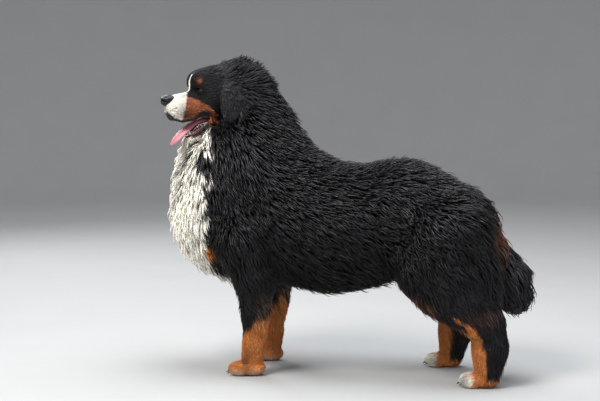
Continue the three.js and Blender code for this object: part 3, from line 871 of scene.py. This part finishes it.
HEAD_LIE = [
    (130, 0, 2, -1, 0, 0.05, 6), (120, 40, -30, -1, 0, -0.15, 7),
    (130, 40, -66, -0.6, 0, -0.8, 7), (90, 42, -66, -0.8, 0, -0.6, 9),
    (85, 0, 15, -0.7, 0, 0.7, 7), (60, 0, 55, -0.8, 0, 0.5, 10),
    (70, 28, 38, -0.6, 0.3, 0.7, 7), (0, 0, 80, -1, 0, 0, 18),
    (20, 60, 20, -0.9, 0, -0.1, 12), (30, 75, -30, -0.8, 0, -0.5, 14),
    (75, 38, -14, -0.9, 0.2, -0.3, 6), (10, 66, -88, -0.3, 0, -0.95, 20),
    (90, 0, -150, -0.6, 0, -0.8, 13), (70, 32, -135, -0.7, 0, -0.7, 13),
    (20, 20, -140, -0.2, 0, -1, 34), (-30, 92, 0, -0.15, 0, -1, 19),
    (-27, 105, -45, -0.05, 0, -1, 21), (-18, 105, -85, 0, 0, -1, 22),
    (-74, 88, -20, -0.6, 0, -0.8, 42), (-60, 0, 75, -0.9, 0, 0.4, 38),
    (-60, 40, 60, -0.9, 0.2, 0.2, 36),
]
REACH_BODY = 70.0
REACH_LEG = 34.0
REACH_HEAD = 24.0
HEAD_WAVE = 0.1


def both_sides(row):
    """What to multiply a row's place and run by: once at the middle, elsewhere for both sides."""
    return [np.array([1, s, 1]) for s in ((1, -1) if row[1] else (1,))]


def lie_table():
    """All guides as arrays: place, direction, length, wave and how far each one is felt."""
    rows = []
    for row in BODY_LIE:
        reach = REACH_LEG if row[2] < 240 and row[0] < 100 else REACH_BODY
        rows += [(flip * row[:3], flip * row[3:6], *row[6:], reach) for flip in both_sides(row)]
    for s, guides in HIND_LIE.items():
        flip = np.array([1, s, 1])
        rows += [(flip * row[:3], flip * row[3:6], *row[6:], REACH_LEG) for row in guides]
    for row in HEAD_LIE:
        rows += [(from_head(flip * row[:3]), (flip * row[3:6]) @ HEAD_AXES, row[6], HEAD_WAVE, REACH_HEAD)
                 for flip in both_sides(row)]
    place, run, size, wave, reach = zip(*rows)
    return np.array(place), unit(np.array(run, float)), np.array(size), np.array(wave), np.array(reach)


LIE = lie_table()


def lie_at(P, chunk=60_000):
    """Direction, length and wave of the coat at points."""
    place, run, size, wave, reach = LIE
    out = np.empty((len(P), 5))
    values = np.concatenate([run, np.log(size)[:, None], wave[:, None]], 1)
    for i in range(0, len(P), chunk):
        p = P[i:i + chunk]
        d2 = (p * p).sum(1)[:, None] + (place * place).sum(1)[None] - 2 * p @ place.T
        w = 1 / (0.02 + (np.maximum(d2, 0) / (reach * reach)) ** 2)
        out[i:i + chunk] = w @ values / w.sum(1)[:, None]
    return unit(out[:, :3]), np.exp(out[:, 3]), out[:, 4]


# The coat's level and slope on a coarse grid, which the long locks follow
class Grid:
    def __init__(self, shape, low, high, pitch):
        self.low = np.array(low, float)
        self.pitch = pitch
        axes = [np.arange(a, b + pitch, pitch) for a, b in zip(low, high)]
        self.size = np.array([len(a) for a in axes])
        points = np.stack(np.meshgrid(*axes, indexing="ij"), -1).reshape(-1, 3)
        level = in_chunks(shape, points).reshape(self.size)
        slopes = np.gradient(level, pitch)
        self.values = np.stack([level, *slopes], -1).reshape(-1, 4).astype(np.float32)

    def __call__(self, P):
        t = np.clip((P - self.low) / self.pitch, 0, self.size - 1.001)
        base = t.astype(int)
        t = t - base
        out = 0
        for c in CORNERS:
            w = np.prod(np.where(c, t, 1 - t), 1)
            k = base + c
            flat = (k[:, 0] * self.size[1] + k[:, 1]) * self.size[2] + k[:, 2]
            out = out + w[:, None] * self.values[flat]
        return out[:, 0], unit(out[:, 1:])


def skin_slope(P):
    d = in_chunks(skin_level, P)
    return d, unit(gradient(skin_level, P, d))


# Locks above the length LONG follow the coat's outside and the others the skin. COVER is how many
# times over each kind covers the skin, and STEPS the points along a lock.
LONG = 27.0
COVER = {True: 5.9, False: 2.8}
STEPS = {True: 6, False: 4}


def lock_width(size):
    return 0.9 + 0.068 * size


def coat_room(P):
    """1 where hair grows, 0 on lips, mouth lining, eye openings, nose leather and soles."""
    room = step_up(P[:, 2], 3, 7)
    near, Q = near_head(P)
    eyes = pair(lambda s: eye_slit(Q, s) - 2.0 + 9 * (eye_frame(Q, s)[3] > 20))
    bare = np.minimum.reduce([mouth_room(Q) - 5.5, nose_shape(Q) - 2.0, *eyes])
    room[near] *= step_up(bare, 0, 1.5)
    return room


def sow(V, faces, rng):
    """Roots spread evenly over the skin, closer where the locks are small."""
    tris = halved(faces)
    tris = tris[np.argsort(np.minimum(tris[:, 0], tris[:, 1]), kind="stable")]
    a, b, c = (V[tris[:, i]] for i in range(3))
    cross = np.cross(b - a, c - a)
    area = length_of(cross) / 2
    middle = (a + b + c) / 3
    _, size, _ = lie_at(middle)
    cover = np.where(size > LONG, COVER[True], COVER[False])
    level, _ = coat_slope(middle)
    cover = cover * np.interp(-level, [30, 50], [1.0, 1.8])
    cover = np.where(chain(middle, TAIL_CORE, 10) < 4, 2.2 * cover, cover)
    density = cover / (size * lock_width(size)) * coat_room(middle)
    total = np.cumsum(area * density)
    count = int(total[-1])
    pick = np.searchsorted(total, (np.arange(count) + rng.random(count)) / count * total[-1])
    pick = np.minimum(pick, len(tris) - 1)
    s = np.sqrt(rng.random(count))[:, None]
    t = rng.random(count)[:, None]
    root = (1 - s) * a[pick] + s * (1 - t) * b[pick] + s * t * c[pick]
    return root, unit(cross[pick])


def along_surface(v, normal):
    return unit(v - (v * normal).sum(1)[:, None] * normal)


# How deep each lock starts in the skin
SUNK = 0.6


def grow(root, normal, steps, long, rng):
    """Each lock's middle line, as an array of locks by steps by 3, with its length and wave."""
    run, size, wave = lie_at(root)
    count = len(root)
    size = size * rng.uniform(0.75, 1.2, count)
    heading = along_surface(run, normal)
    across = np.cross(normal, heading)
    heading = unit(heading + across * rng.normal(0, 0.12 if long else 0.16, count)[:, None])
    slope = coat_slope if long else skin_slope
    start, _ = slope(root)
    if long:
        rise = np.maximum(-start, 3) * rng.uniform(0.72, 1.03, count)
    else:
        rise = size * rng.uniform(0.10, 0.24, count)
    points = [root - normal * SUNK]
    p = root
    crest = step_up(root[:, 2], 880, 920) * step_up(root[:, 0], -110, -80)
    stray = rng.random(count) < ((0.10 + 0.35 * crest) if long else 0.0)
    rise = np.where(stray, rise * 1.2 + 3, rise)
    last = np.where(stray, 0.2, 0.55 if long else 1.0)
    for k in range(1, steps):
        t = k / (steps - 1)
        level = start + rise * (1 - (1 - t) ** 1.7)
        _, g = slope(p)
        loose = (np.where(stray, 0.8, 0.32) * t if long else np.zeros(count))[:, None]
        heading = unit((1 - loose) * along_surface(heading, g) + loose * run)
        p = p + heading * (size / (steps - 1))[:, None]
        # Towards the height above the skin that the lock should have reached
        here, g = slope(p)
        pull = np.clip(level - here, -0.5 * size / steps, 0.5 * size / steps + 6)
        p = p + g * (pull * (last if k == steps - 1 else 1.0))[:, None]
        points.append(p)
    return np.stack(points, 1), size, wave


def clump(line, size, wave, rng, every=9):
    """Neighbouring locks draw together towards their tips, and wave together."""
    count, steps, _ = line.shape
    leaders = rng.permutation(count)[:max(1, count // every)]
    tree = KDTree(len(leaders))
    for i, k in enumerate(leaders):
        tree.insert(line[k, 0], i)
    tree.balance()
    nearest = np.array([leaders[tree.find(p)[1]] for p in line[:, 0]])
    t = np.linspace(0, 1, steps)[None, :, None]
    pull = rng.uniform(0.1, 0.48, count)[:, None, None] * t ** 1.4
    line = line + (line[nearest] - line) * pull
    phase = 2.5 * ripple(line[nearest, 0], 90, 21)[:, None] + 0.5 * rng.normal(size=(count, 1))
    turn = phase + 2 * math.pi * 1.15 * np.linspace(0, 1, steps)[None]
    amount = (0.085 * size * wave)[:, None] * np.linspace(0.1, 1, steps)[None]
    tangent = unit(line[:, -1] - line[:, 0])
    _, up = coat_slope(line[:, steps // 2])
    side = unit(np.cross(up, tangent))
    line = line + side[:, None] * (np.sin(turn) * amount)[..., None]
    return line + up[:, None] * (0.35 * np.cos(turn) * amount)[..., None]


def tubes(line, width, flat=0.5):
    """Closed three-sided tapered tubes along the middle lines, and their faces."""
    count, steps, _ = line.shape
    rings = steps - 1
    taper = np.interp(np.linspace(0, 1, steps), [0, 0.25, 0.6, 0.85, 1], [0.6, 1.0, 0.92, 0.55, 0])
    reach = (width[:, None] / 2 * taper[None, :rings])[..., None]
    ahead = np.concatenate([line[:, 1:], line[:, -1:]], 1) - np.concatenate([line[:, :1], line[:, :-1]], 1)
    tangent = unit(ahead.reshape(-1, 3))
    _, up = coat_slope(line.reshape(-1, 3))
    side = unit(np.cross(up, tangent))
    side, rise = (v.reshape(count, steps, 3)[:, :rings] for v in (side, np.cross(tangent, side)))
    V = np.empty((count, rings * 3 + 1, 3))
    for j, angle in enumerate((90, 210, 330)):
        a = math.radians(angle)
        V[:, j:-1:3] = line[:, :rings] + reach * (math.cos(a) * side + flat * math.sin(a) * rise)
    V[:, -1] = line[:, -1]
    tip = 3 * rings
    point = [(tip - 3 + j, tip - 3 + (j + 1) % 3, tip) for j in range(3)]
    return V, np.concatenate([[(0, 2, 1)], halved(wrapped(rings, 3)), point])


# Regions of the coat, each its own piece, with the middle line that its map is wound about
CHEST_END = 245
LOIN_END = 462
TAIL_START = 690
NECK_BASE = 640
ELBOW = 325
STIFLE = 420


def region_of(root):
    x, y, z = root.T
    Q = to_head(root)
    names = np.full(len(root), "coat_chest_left", dtype="<U24")
    half = np.where(y < 0, "left", "right")

    def put(where, word, sides=half):
        names[where] = np.char.add(f"coat_{word}_", sides[where])

    put(np.ones(len(root), bool), "chest")
    put(x > CHEST_END, "loin")
    put(x > LOIN_END, "rump")
    put((z > NECK_BASE) & (x < 200), "neck")
    put((z < ELBOW) & (x < 130) & (np.abs(y) > 34), "foreleg")
    put((z < STIFLE) & (x > 440) & (np.abs(y) > 20), "hindleg")
    names[(chain(root, TAIL_CORE, 10) < 6) & (x > TAIL_START)] = "coat_tail"
    on_head = (Q[:, 0] > -48) & (Q[:, 2] > -165) & (length_of(root - HEAD_AT) < HEAD_REACH)
    put(on_head, "head", np.where(Q[:, 1] > 0, "left", "right"))
    return names


def wound_map(name, root):
    """Places on an unwrap of the skin about the region's own middle line, as a square."""
    x, y, z = root.T
    if "head" in name:
        Q = to_head(root)
        long, a, b = Q[:, 0], np.abs(Q[:, 1]), Q[:, 2] + 30
    elif "leg" in name:
        leg, side = next((leg, side) for part, leg, side in LEGS if part in name)
        middle, apart, _ = leg_at(leg, z)
        long, a, b = z, x - middle, y - side * apart
    elif "tail" in name:
        line = np.array(TAIL_CORE)[::-1]
        long, a, b = z, x - np.interp(z, line[:, 2], line[:, 0]), y
    elif "neck" in name:
        long, a, b = z, x + 60, np.abs(y + 10)
    else:
        long, a, b = x, np.abs(y), z - 470
    uv = np.stack([long, np.arctan2(b, a)], -1)
    low, high = uv.min(0), uv.max(0)
    return 0.01 + 0.975 * (uv - low) / np.maximum(high - low, 1e-6)


# How large each lock's patch is on its region's map
PATCH = 0.003


def coat_pieces(material, V, faces):
    rng = np.random.default_rng(SEED)
    root, normal = sow(V, faces, rng)
    _, size, _ = lie_at(root)
    batches = []
    for long in (True, False):
        own = (size > LONG) == long
        line, length, wave = grow(root[own], normal[own], STEPS[long], long, rng)
        if long:
            line = clump(line, length, wave, rng)
        width = lock_width(length) * rng.uniform(0.7, 1.3, len(length))
        line[..., 2] = np.maximum(line[..., 2], 1.5)
        pale = step_up(markings(line[:, 1])[:, 2], 0.3, 0.5)
        made, pattern = tubes(line, width * (1 + 0.7 * long * pale))
        tone = colour_of_locks(line, long, made, rng)
        batches.append((root[own], made, pattern, tone, region_of(root[own])))
    names = np.unique(np.concatenate([batch[-1] for batch in batches]))
    return [region_piece(str(name), batches, material) for name in names]


def colour_of_locks(line, long, made, rng):
    """A colour for each vertex: the markings where the lock lies, with painted shade towards the root and
    broad patches of painted sheen.
    """
    count = len(line)
    at = line[:, 2] if long else line[:, 1]
    base = markings(at)
    black = 1 - step_up(base.max(1), 0.03, 0.12)
    # Each lock's tone differs at random, and broad patches about 70 across are made lighter and darker as a
    # painted sheen over the clumps
    tone = np.exp(rng.normal(0, 0.16, count)) * (1 + 0.55 * ripple(at, 70, 31))
    tip = 1 + 0.25 * rng.random(count)
    rows = made.shape[1]
    t = np.minimum(np.arange(rows) // 3 / ((rows - 1) // 3), 1.0)
    # Painted shade: each lock darker towards its root, strongly for black locks and a little for pale ones
    dark = 0.45 + 0.55 * t[None] ** 0.8 * tip[:, None]
    light = 0.92 + 0.10 * t[None] ** 0.8
    root_shade = dark * black[:, None] + light * (1 - black[:, None])
    tone = tone * black + (1 - black) * tone ** 0.4
    rusty = (1 - black) * step_up(base[:, 0] - base[:, 2], 0.15, 0.3)
    base = mix(base, SANDY, 0.5 * rusty * (rng.random(count) < 0.2))
    colour = base[:, None] * (tone[:, None] * root_shade)[..., None]
    warm = (black * step_up(ripple(at, 45, 33), 0.5, 1.1) * 0.6)[:, None] * t[None] ** 2
    return colour + warm[..., None] * SUNNED


def region_piece(name, batches, material):
    """The locks of one region as one joined mesh, long ones first."""
    parts = [(root[own], made[own], pattern, tone[own]) for root, made, pattern, tone, region in batches
             for own in [region == name] if own.any()]
    place = wound_map(name, np.concatenate([part[0] for part in parts]))
    V, F, colours, uv = [], [], [], []
    start = 0
    offset = 0
    for _, made, pattern, tone in parts:
        count, rows, _ = made.shape
        V.append(made.reshape(-1, 3))
        F.append((pattern[None] + (np.arange(count) * rows)[:, None, None]).reshape(-1, 3) + offset)
        colours.append(tone.reshape(-1, 3))
        ring = np.arange(rows)
        patch = np.stack([(ring % 3) / 2.0, np.minimum(ring // 3 / (rows // 3), 1)], -1) - 0.5
        uv.append((place[start:start + count, None] + PATCH * patch[None]).reshape(-1, 2))
        start += count
        offset += count * rows
    V, F, colours, uv = (np.concatenate(part) for part in (V, F, colours, uv))
    return make_mesh(name, V, F, material, colours, uv=uv)


# Pieces of their own: eyes, nose, tongue, teeth and claws
EYE_RINGS = [(4.2, (0.002, 0.002, 0.002)), (9.4, (0.045, 0.017, 0.008)), (10.6, (0.008, 0.005, 0.004)),
             (EYE_R, (0.07, 0.04, 0.035))]


def eye(name, side, material):
    """A ball with its pole along the look, coloured by pupil, iris, dark ring and white."""
    rings, sides = 48, 64
    streak = 1 + 0.35 * np.random.default_rng(5).normal(size=sides)
    V, colours = [], []
    for i in range(rings + 1):
        polar = math.pi * i / rings
        out = EYE_R * math.sin(polar)
        bulge = 0.9 * math.exp(-(out / 5.5) ** 2) if polar < math.pi / 2 else 0
        layer = 3 if polar > math.pi / 2 else sum(out > reach for reach, _ in EYE_RINGS[:3])
        for j in range(sides):
            turn = 2 * math.pi * j / sides
            p = (EYE_R * math.cos(polar) + bulge) * EYE_LOOK
            p = p + out * (math.cos(turn) * EYE_ACROSS + math.sin(turn) * EYE_RISE)
            V.append((np.array(EYE_AT) + p) * np.array([1, side, 1]))
            colours.append(np.array(EYE_RINGS[layer][1]) * (max(0.4, streak[j]) if layer == 1 else 1))
    faces = wrapped(rings + 1, sides)
    return make_mesh(name, from_head(V), faces if side < 0 else faces[:, ::-1], material, np.array(colours))


TONGUE = [(22, 0, -94, 20, 7), (50, 0, -92, 25, 8), (78, 0, -97, 27, 8), (104, 0, -106, 28, 8),
          (128, 0, -120, 28, 7), (146, 0, -135, 25, 6), (156, 0, -146, 17, 5), (161, 0, -152, 7, 3)]


def curve_through(rows, count):
    """Smooth values through rows at even steps, by a cubic between each two."""
    rows = np.array(rows, float)
    t = np.linspace(0, len(rows) - 1, count)
    i = np.minimum(t.astype(int), len(rows) - 2)
    t = (t - i)[:, None]
    p0, p1, p2, p3 = (rows[np.clip(i + k, 0, len(rows) - 1)] for k in (-1, 0, 1, 2))
    return p1 + 0.5 * t * (p2 - p0 + t * (2 * p0 - 5 * p1 + 4 * p2 - p3 + t * (3 * (p1 - p2) + p3 - p0)))


def tongue(material):
    """A tongue with a groove along its middle, whose edges hang down where it leaves the mouth."""
    rings, sides = 72, 48
    rows = curve_through(TONGUE, rings)
    turn = 2 * math.pi * np.arange(sides) / sides
    across, top = np.cos(turn), np.sin(turn)
    middle = np.clip(top, 0, 1)
    under = step_up(-top, -0.2, 0.4)
    groove_shade = np.exp(-(across / 0.12) ** 2) * middle
    V, colours = [], []
    for i, (f, _, u, width, thick) in enumerate(rows):
        before, after = rows[max(i - 1, 0)], rows[min(i + 1, rings - 1)]
        along = np.array([after[0] - before[0], 0, after[2] - before[2]])
        along /= np.linalg.norm(along)
        up = np.array([-along[2], 0, along[0]])
        groove = -0.45 * thick * np.exp(-(across / 0.16) ** 2) * middle
        wide = width * np.interp(f, [22, 60, 95, 120], [0.75, 0.66, 0.95, 1.0])
        droop = -0.34 * wide * across ** 2 * np.interp(f, [70, 105], [0, 1])
        lift = 3 + top * thick * 0.95 + groove + droop
        sway = 1.0 * math.sin(i / 7.0)
        ring = np.array([f, 0, u]) + lift[:, None] * up
        V.append(ring + (across * wide * 0.97 + sway)[:, None] * np.array([0, 1.0, 0]))
        # Painted shade on the tongue: darker on its underside, along the groove down its middle, and towards
        # its root inside the mouth
        tint = mix(np.tile([0.64, 0.24, 0.28], (sides, 1)), np.array([0.50, 0.13, 0.17]), under)
        tint = mix(tint, np.array([0.44, 0.10, 0.14]), groove_shade)
        colours.append(mix(tint, np.array([0.38, 0.10, 0.13]), np.full(sides, max(0, 1 - i / 24))))
    V = np.concatenate([*V, [V[0].mean(0), V[-1].mean(0)]])
    colours = np.concatenate([*colours, colours[0][:1], colours[-1][:1]])
    return make_mesh("tongue_flesh", from_head(V), closed_rings(rings, sides)[:, ::-1], material, colours)


def spike(base, tip, wide, deep, sides=10, rings=6, bend=(0, 0, 0)):
    """A blunt pointed tooth or claw from base to tip, oval in section."""
    base, tip, bend = (np.array(v, float) for v in (base, tip, bend))
    along = (tip - base) / np.linalg.norm(tip - base)
    across = np.cross(along, [1.0, 0.0, 0.0] if abs(along[0]) < 0.8 else [0.0, 1.0, 0.0])
    across /= np.linalg.norm(across)
    other = np.cross(along, across)
    turn = 2 * math.pi * np.arange(sides) / sides
    oval = wide * np.cos(turn)[:, None] * across + deep * np.sin(turn)[:, None] * other
    V = []
    for t in np.linspace(0, 1, rings):
        r = math.sqrt(max(0.0, 1 - t ** 1.8)) * (1 - 0.35 * t)
        V.append(base + (tip - base) * t + bend * math.sin(math.pi * t) + max(r, 0.05) * oval)
    return np.concatenate([*V, [base, tip]]), closed_rings(rings, sides)


def joined(parts):
    V, F, start = [], [], 0
    for v, f in parts:
        V.append(v)
        F.append(f + start)
        start += len(v)
    return np.concatenate(V), np.concatenate(F)


def teeth(material):
    """Lower molars, premolars, eye teeth and front teeth, and the upper row under the lip."""
    parts = []
    for s in (1, -1):
        for f, height in ((48, 13), (59, 14), (69, 10), (78, 8), (86, 6)):
            y, u = s * (22 - 0.16 * (f - 48)), -110 - 0.34 * (f - 48)
            for shift, share in ((-3.2, 0.75), (0, 1.0), (3.2, 0.7)):
                parts.append(spike((f + shift, y, u), (f + shift * 0.8, y, u + height * share), 2.4, 3.2))
        parts.append(spike((97, s * 13, -129), (102, s * 15, -109), 4.0, 4.6, bend=(2, 0, 0)))
        for i in range(3):
            parts.append(spike((101, s * (2.2 + 3.9 * i), -130), (104, s * (2.2 + 4.1 * i), -121), 1.9, 1.6))
        parts.append(spike((134, s * 17, -62), (133, s * 18, -86), 4.2, 4.8, bend=(2, 0, 0)))
        for i in range(3):
            parts.append(spike((143, s * (2.6 + 4.6 * i), -66), (144, s * (2.6 + 4.7 * i), -76), 2.2, 1.8))
        for i, (f, tip) in enumerate(((118, -78), (106, -79), (94, -80), (81, -83), (67, -81))):
            parts.append(spike((f, s * (20 + 1.3 * i), -66), (f, s * (21 + 1.2 * i), tip), 3.4, 4.6))
    V, F = joined(parts)
    yellow = step_up(ripple(V, 9, 41), -0.5, 1.0)
    colours = mix(np.tile([0.84, 0.80, 0.70], (len(V), 1)), np.array([0.70, 0.58, 0.38]), 0.5 * yellow)
    return make_mesh("teeth", from_head(V), F, material, colours)


def claws(material):
    parts = []
    for _, leg, side in LEGS:
        for x, y in toe_places(leg, side):
            base = (x - 17, y, CLAW_HEIGHT + 1)
            parts.append(spike(base, (x - 34.5, y, CLAW_HEIGHT - 7.0), 3.4, 3.9, rings=9, bend=(0, 0, 2.4)))
    V, F = joined(parts)
    colours = mix(np.tile([0.030, 0.026, 0.023], (len(V), 1)), np.array([0.15, 0.12, 0.09]),
                  step_up(ripple(V, 14, 43), -0.2, 1.2))
    return make_mesh("claws", V, F, material, colours)


# Build
SIDES = ("left", "right")
FLESH = ["chest", "loin", "rump", "neck", "head", "jaw", "ear_left", "ear_right", "tail_base", "tail_tip"]
FLESH += [f"{part}_{side}" for part in ("foreleg", "forepaw", "hindleg", "hindpaw") for side in SIDES]
CLAWS = [f"{part}claw_{side}_{i}" for part in ("fore", "hind") for side in SIDES for i in range(1, 5)]


def settle(piece, slot, *nodes):
    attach(piece, "root")
    if nodes:
        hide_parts(*nodes)
    return piece


FINE = 2.4
skin_V, skin_F = surface(skin_level, [
    spaced((-330, -318, 6), (-318, -20, FINE), (-20, 880, 6.5)),
    spaced((-260, -196, 6), (-196, 96, FINE), (96, 260, 6)),
    spaced((-6, 90, 3.2), (90, 690, 8), (690, 1000, FINE)),
])
hide = tinted_material("skin", [(620, 3.0, 0.66, 1.3), (90, 4.0, 0.88, 1.12)], (0.62, 0.2), (0.5, 0.0008),
                       moist=True, Specular_IOR_Level=0.3, Sheen_Weight=0.02, Sheen_Roughness=0.5,
                       Sheen_Tint=(0.8, 0.82, 1.0, 1.0), IOR=1.45)
skin = make_mesh("skin", skin_V, skin_F, hide, *bare_parts(skin_V, markings(skin_V)))
settle(skin, "black_coat", *FLESH)

coat_slope = Grid(coat_level, (-340, -270, -16), (900, 270, 1040), 9.0)
hair = tinted_material("coat", [(420, 2.0, 0.72, 1.28), (38, 3.0, 0.86, 1.14)], (0.36, 0.58), (0.35, 0.0006),
                       Specular_IOR_Level=0.36, Sheen_Weight=0.02, Sheen_Roughness=0.4,
                       Sheen_Tint=(0.78, 0.80, 1.0, 1.0), IOR=1.5)
for piece in coat_pieces(hair, skin_V, skin_F):
    settle(piece, "rust_coat" if "foreleg" in piece.name else "black_coat")

wet_eye = tinted_material("eye", [(300, 4.0, 0.7, 1.3)], (0.03, 0.06), Specular_IOR_Level=0.4,
                          Coat_Weight=0.4, Coat_Roughness=0.02)
for side, s in zip(SIDES, (1, -1)):
    settle(eye(f"eye_ball_{side}", s, wet_eye), "eye", f"eye_{side}")
nose_lines = [spaced((middle - 40, middle + 40, 1.3)) for middle in from_head((155, 0, -8))]
nose = make_mesh("nose_leather", *surface(nose_detail, nose_lines), nose_material())
settle(nose, "nose_leather", "nose")
flesh = tinted_material("tongue", [(700, 4.0, 0.72, 1.2)], (0.34, 0.55), (0.5, 0.0012),
                        Specular_IOR_Level=0.4, Subsurface_Weight=0.1, Subsurface_Scale=0.004,
                        Coat_Weight=0.12, Coat_Roughness=0.25)
settle(tongue(flesh), "tongue", "tongue")
ivory = tinted_material("teeth", [(250, 4.0, 0.9, 1.08)], (0.14, 0.26), (0.5, 0.0002),
                        Specular_IOR_Level=0.5, Coat_Weight=0.3, Coat_Roughness=0.1)
settle(teeth(ivory), "teeth")
horn = tinted_material("claw", [(500, 4.0, 0.7, 1.3)], (0.3, 0.5), (0.5, 0.0003), Specular_IOR_Level=0.4)
settle(claws(horn), "claw", *CLAWS)


# Floor, light and camera
def stage():
    """A round pale floor that curves up into a wall all about."""
    flat, bend, top, sides = 6.5, 3.0, 8.0, 96
    curve = [(flat + bend * math.sin(a), bend * (1 - math.cos(a)))
             for a in np.linspace(0, math.pi / 2, 17)[1:]]
    profile = [(0.0, 0.0), (flat, 0.0), *curve, (flat + bend, top)]
    turn = 2 * math.pi * np.arange(sides) / sides
    V = np.array([(r * math.cos(a), r * math.sin(a), z) for r, z in profile for a in turn])
    material, tree, shader = new_material("floor", Specular_IOR_Level=0.2, Roughness=0.8)
    link_ramp(tree, shader, noise(tree, 3.0, 2.0), (0.40, 0.40, 0.395), (0.43, 0.43, 0.425))
    faces = wrapped(len(profile), sides)[:, ::-1]
    make_mesh("floor", V * 1000 + CENTRE, faces, material)


def light(name, place, target, size, power, colour):
    lamp = bpy.data.lights.new(name, "AREA")
    lamp.shape = "DISK"
    lamp.size = size
    lamp.energy = power
    lamp.color = colour
    holder = add_object(name, lamp)
    holder.location = place
    holder.rotation_euler = (Vector(target) - Vector(place)).to_track_quat("-Z", "Y").to_euler()


CAMERA_AT = (0.792, -4.110, 0.900)
CAMERA_TURN = math.radians(13)
CAMERA_DOWN = math.radians(4.908)
LENS = 80.7
SENSOR = 36
FARTHEST = 60

stage()
light("key", (-1.4, -2.4, 3.6), (0, 0, 0.5), 1.8, 170, (1.0, 0.985, 0.96))
light("sky", (0.3, 0.2, 4.2), (0, 0, 0.4), 3.0, 185, (0.93, 0.96, 1.0))
light("fill", (3.2, -2.4, 1.6), (0, 0, 0.5), 2.4, 22, (0.95, 0.97, 1.0))
light("rim", (-2.6, 2.6, 2.4), (0, 0, 0.6), 2.0, 60, (0.95, 0.97, 1.0))
world = bpy.data.worlds.new("studio")
world.use_nodes = True
backdrop = world.node_tree.nodes["Background"].inputs
backdrop["Color"].default_value = (0.92, 0.95, 1.0, 1)
backdrop["Strength"].default_value = 0.65
bpy.context.scene.world = world

lens = bpy.data.cameras.new("camera")
lens.lens = LENS
lens.sensor_width = SENSOR
lens.clip_end = FARTHEST
camera = add_object("camera", lens)
camera.location = CAMERA_AT
camera.rotation_euler = (math.pi / 2 - CAMERA_DOWN, 0, CAMERA_TURN)
bpy.context.scene.camera = camera
bpy.context.scene.view_settings.view_transform = "Standard"
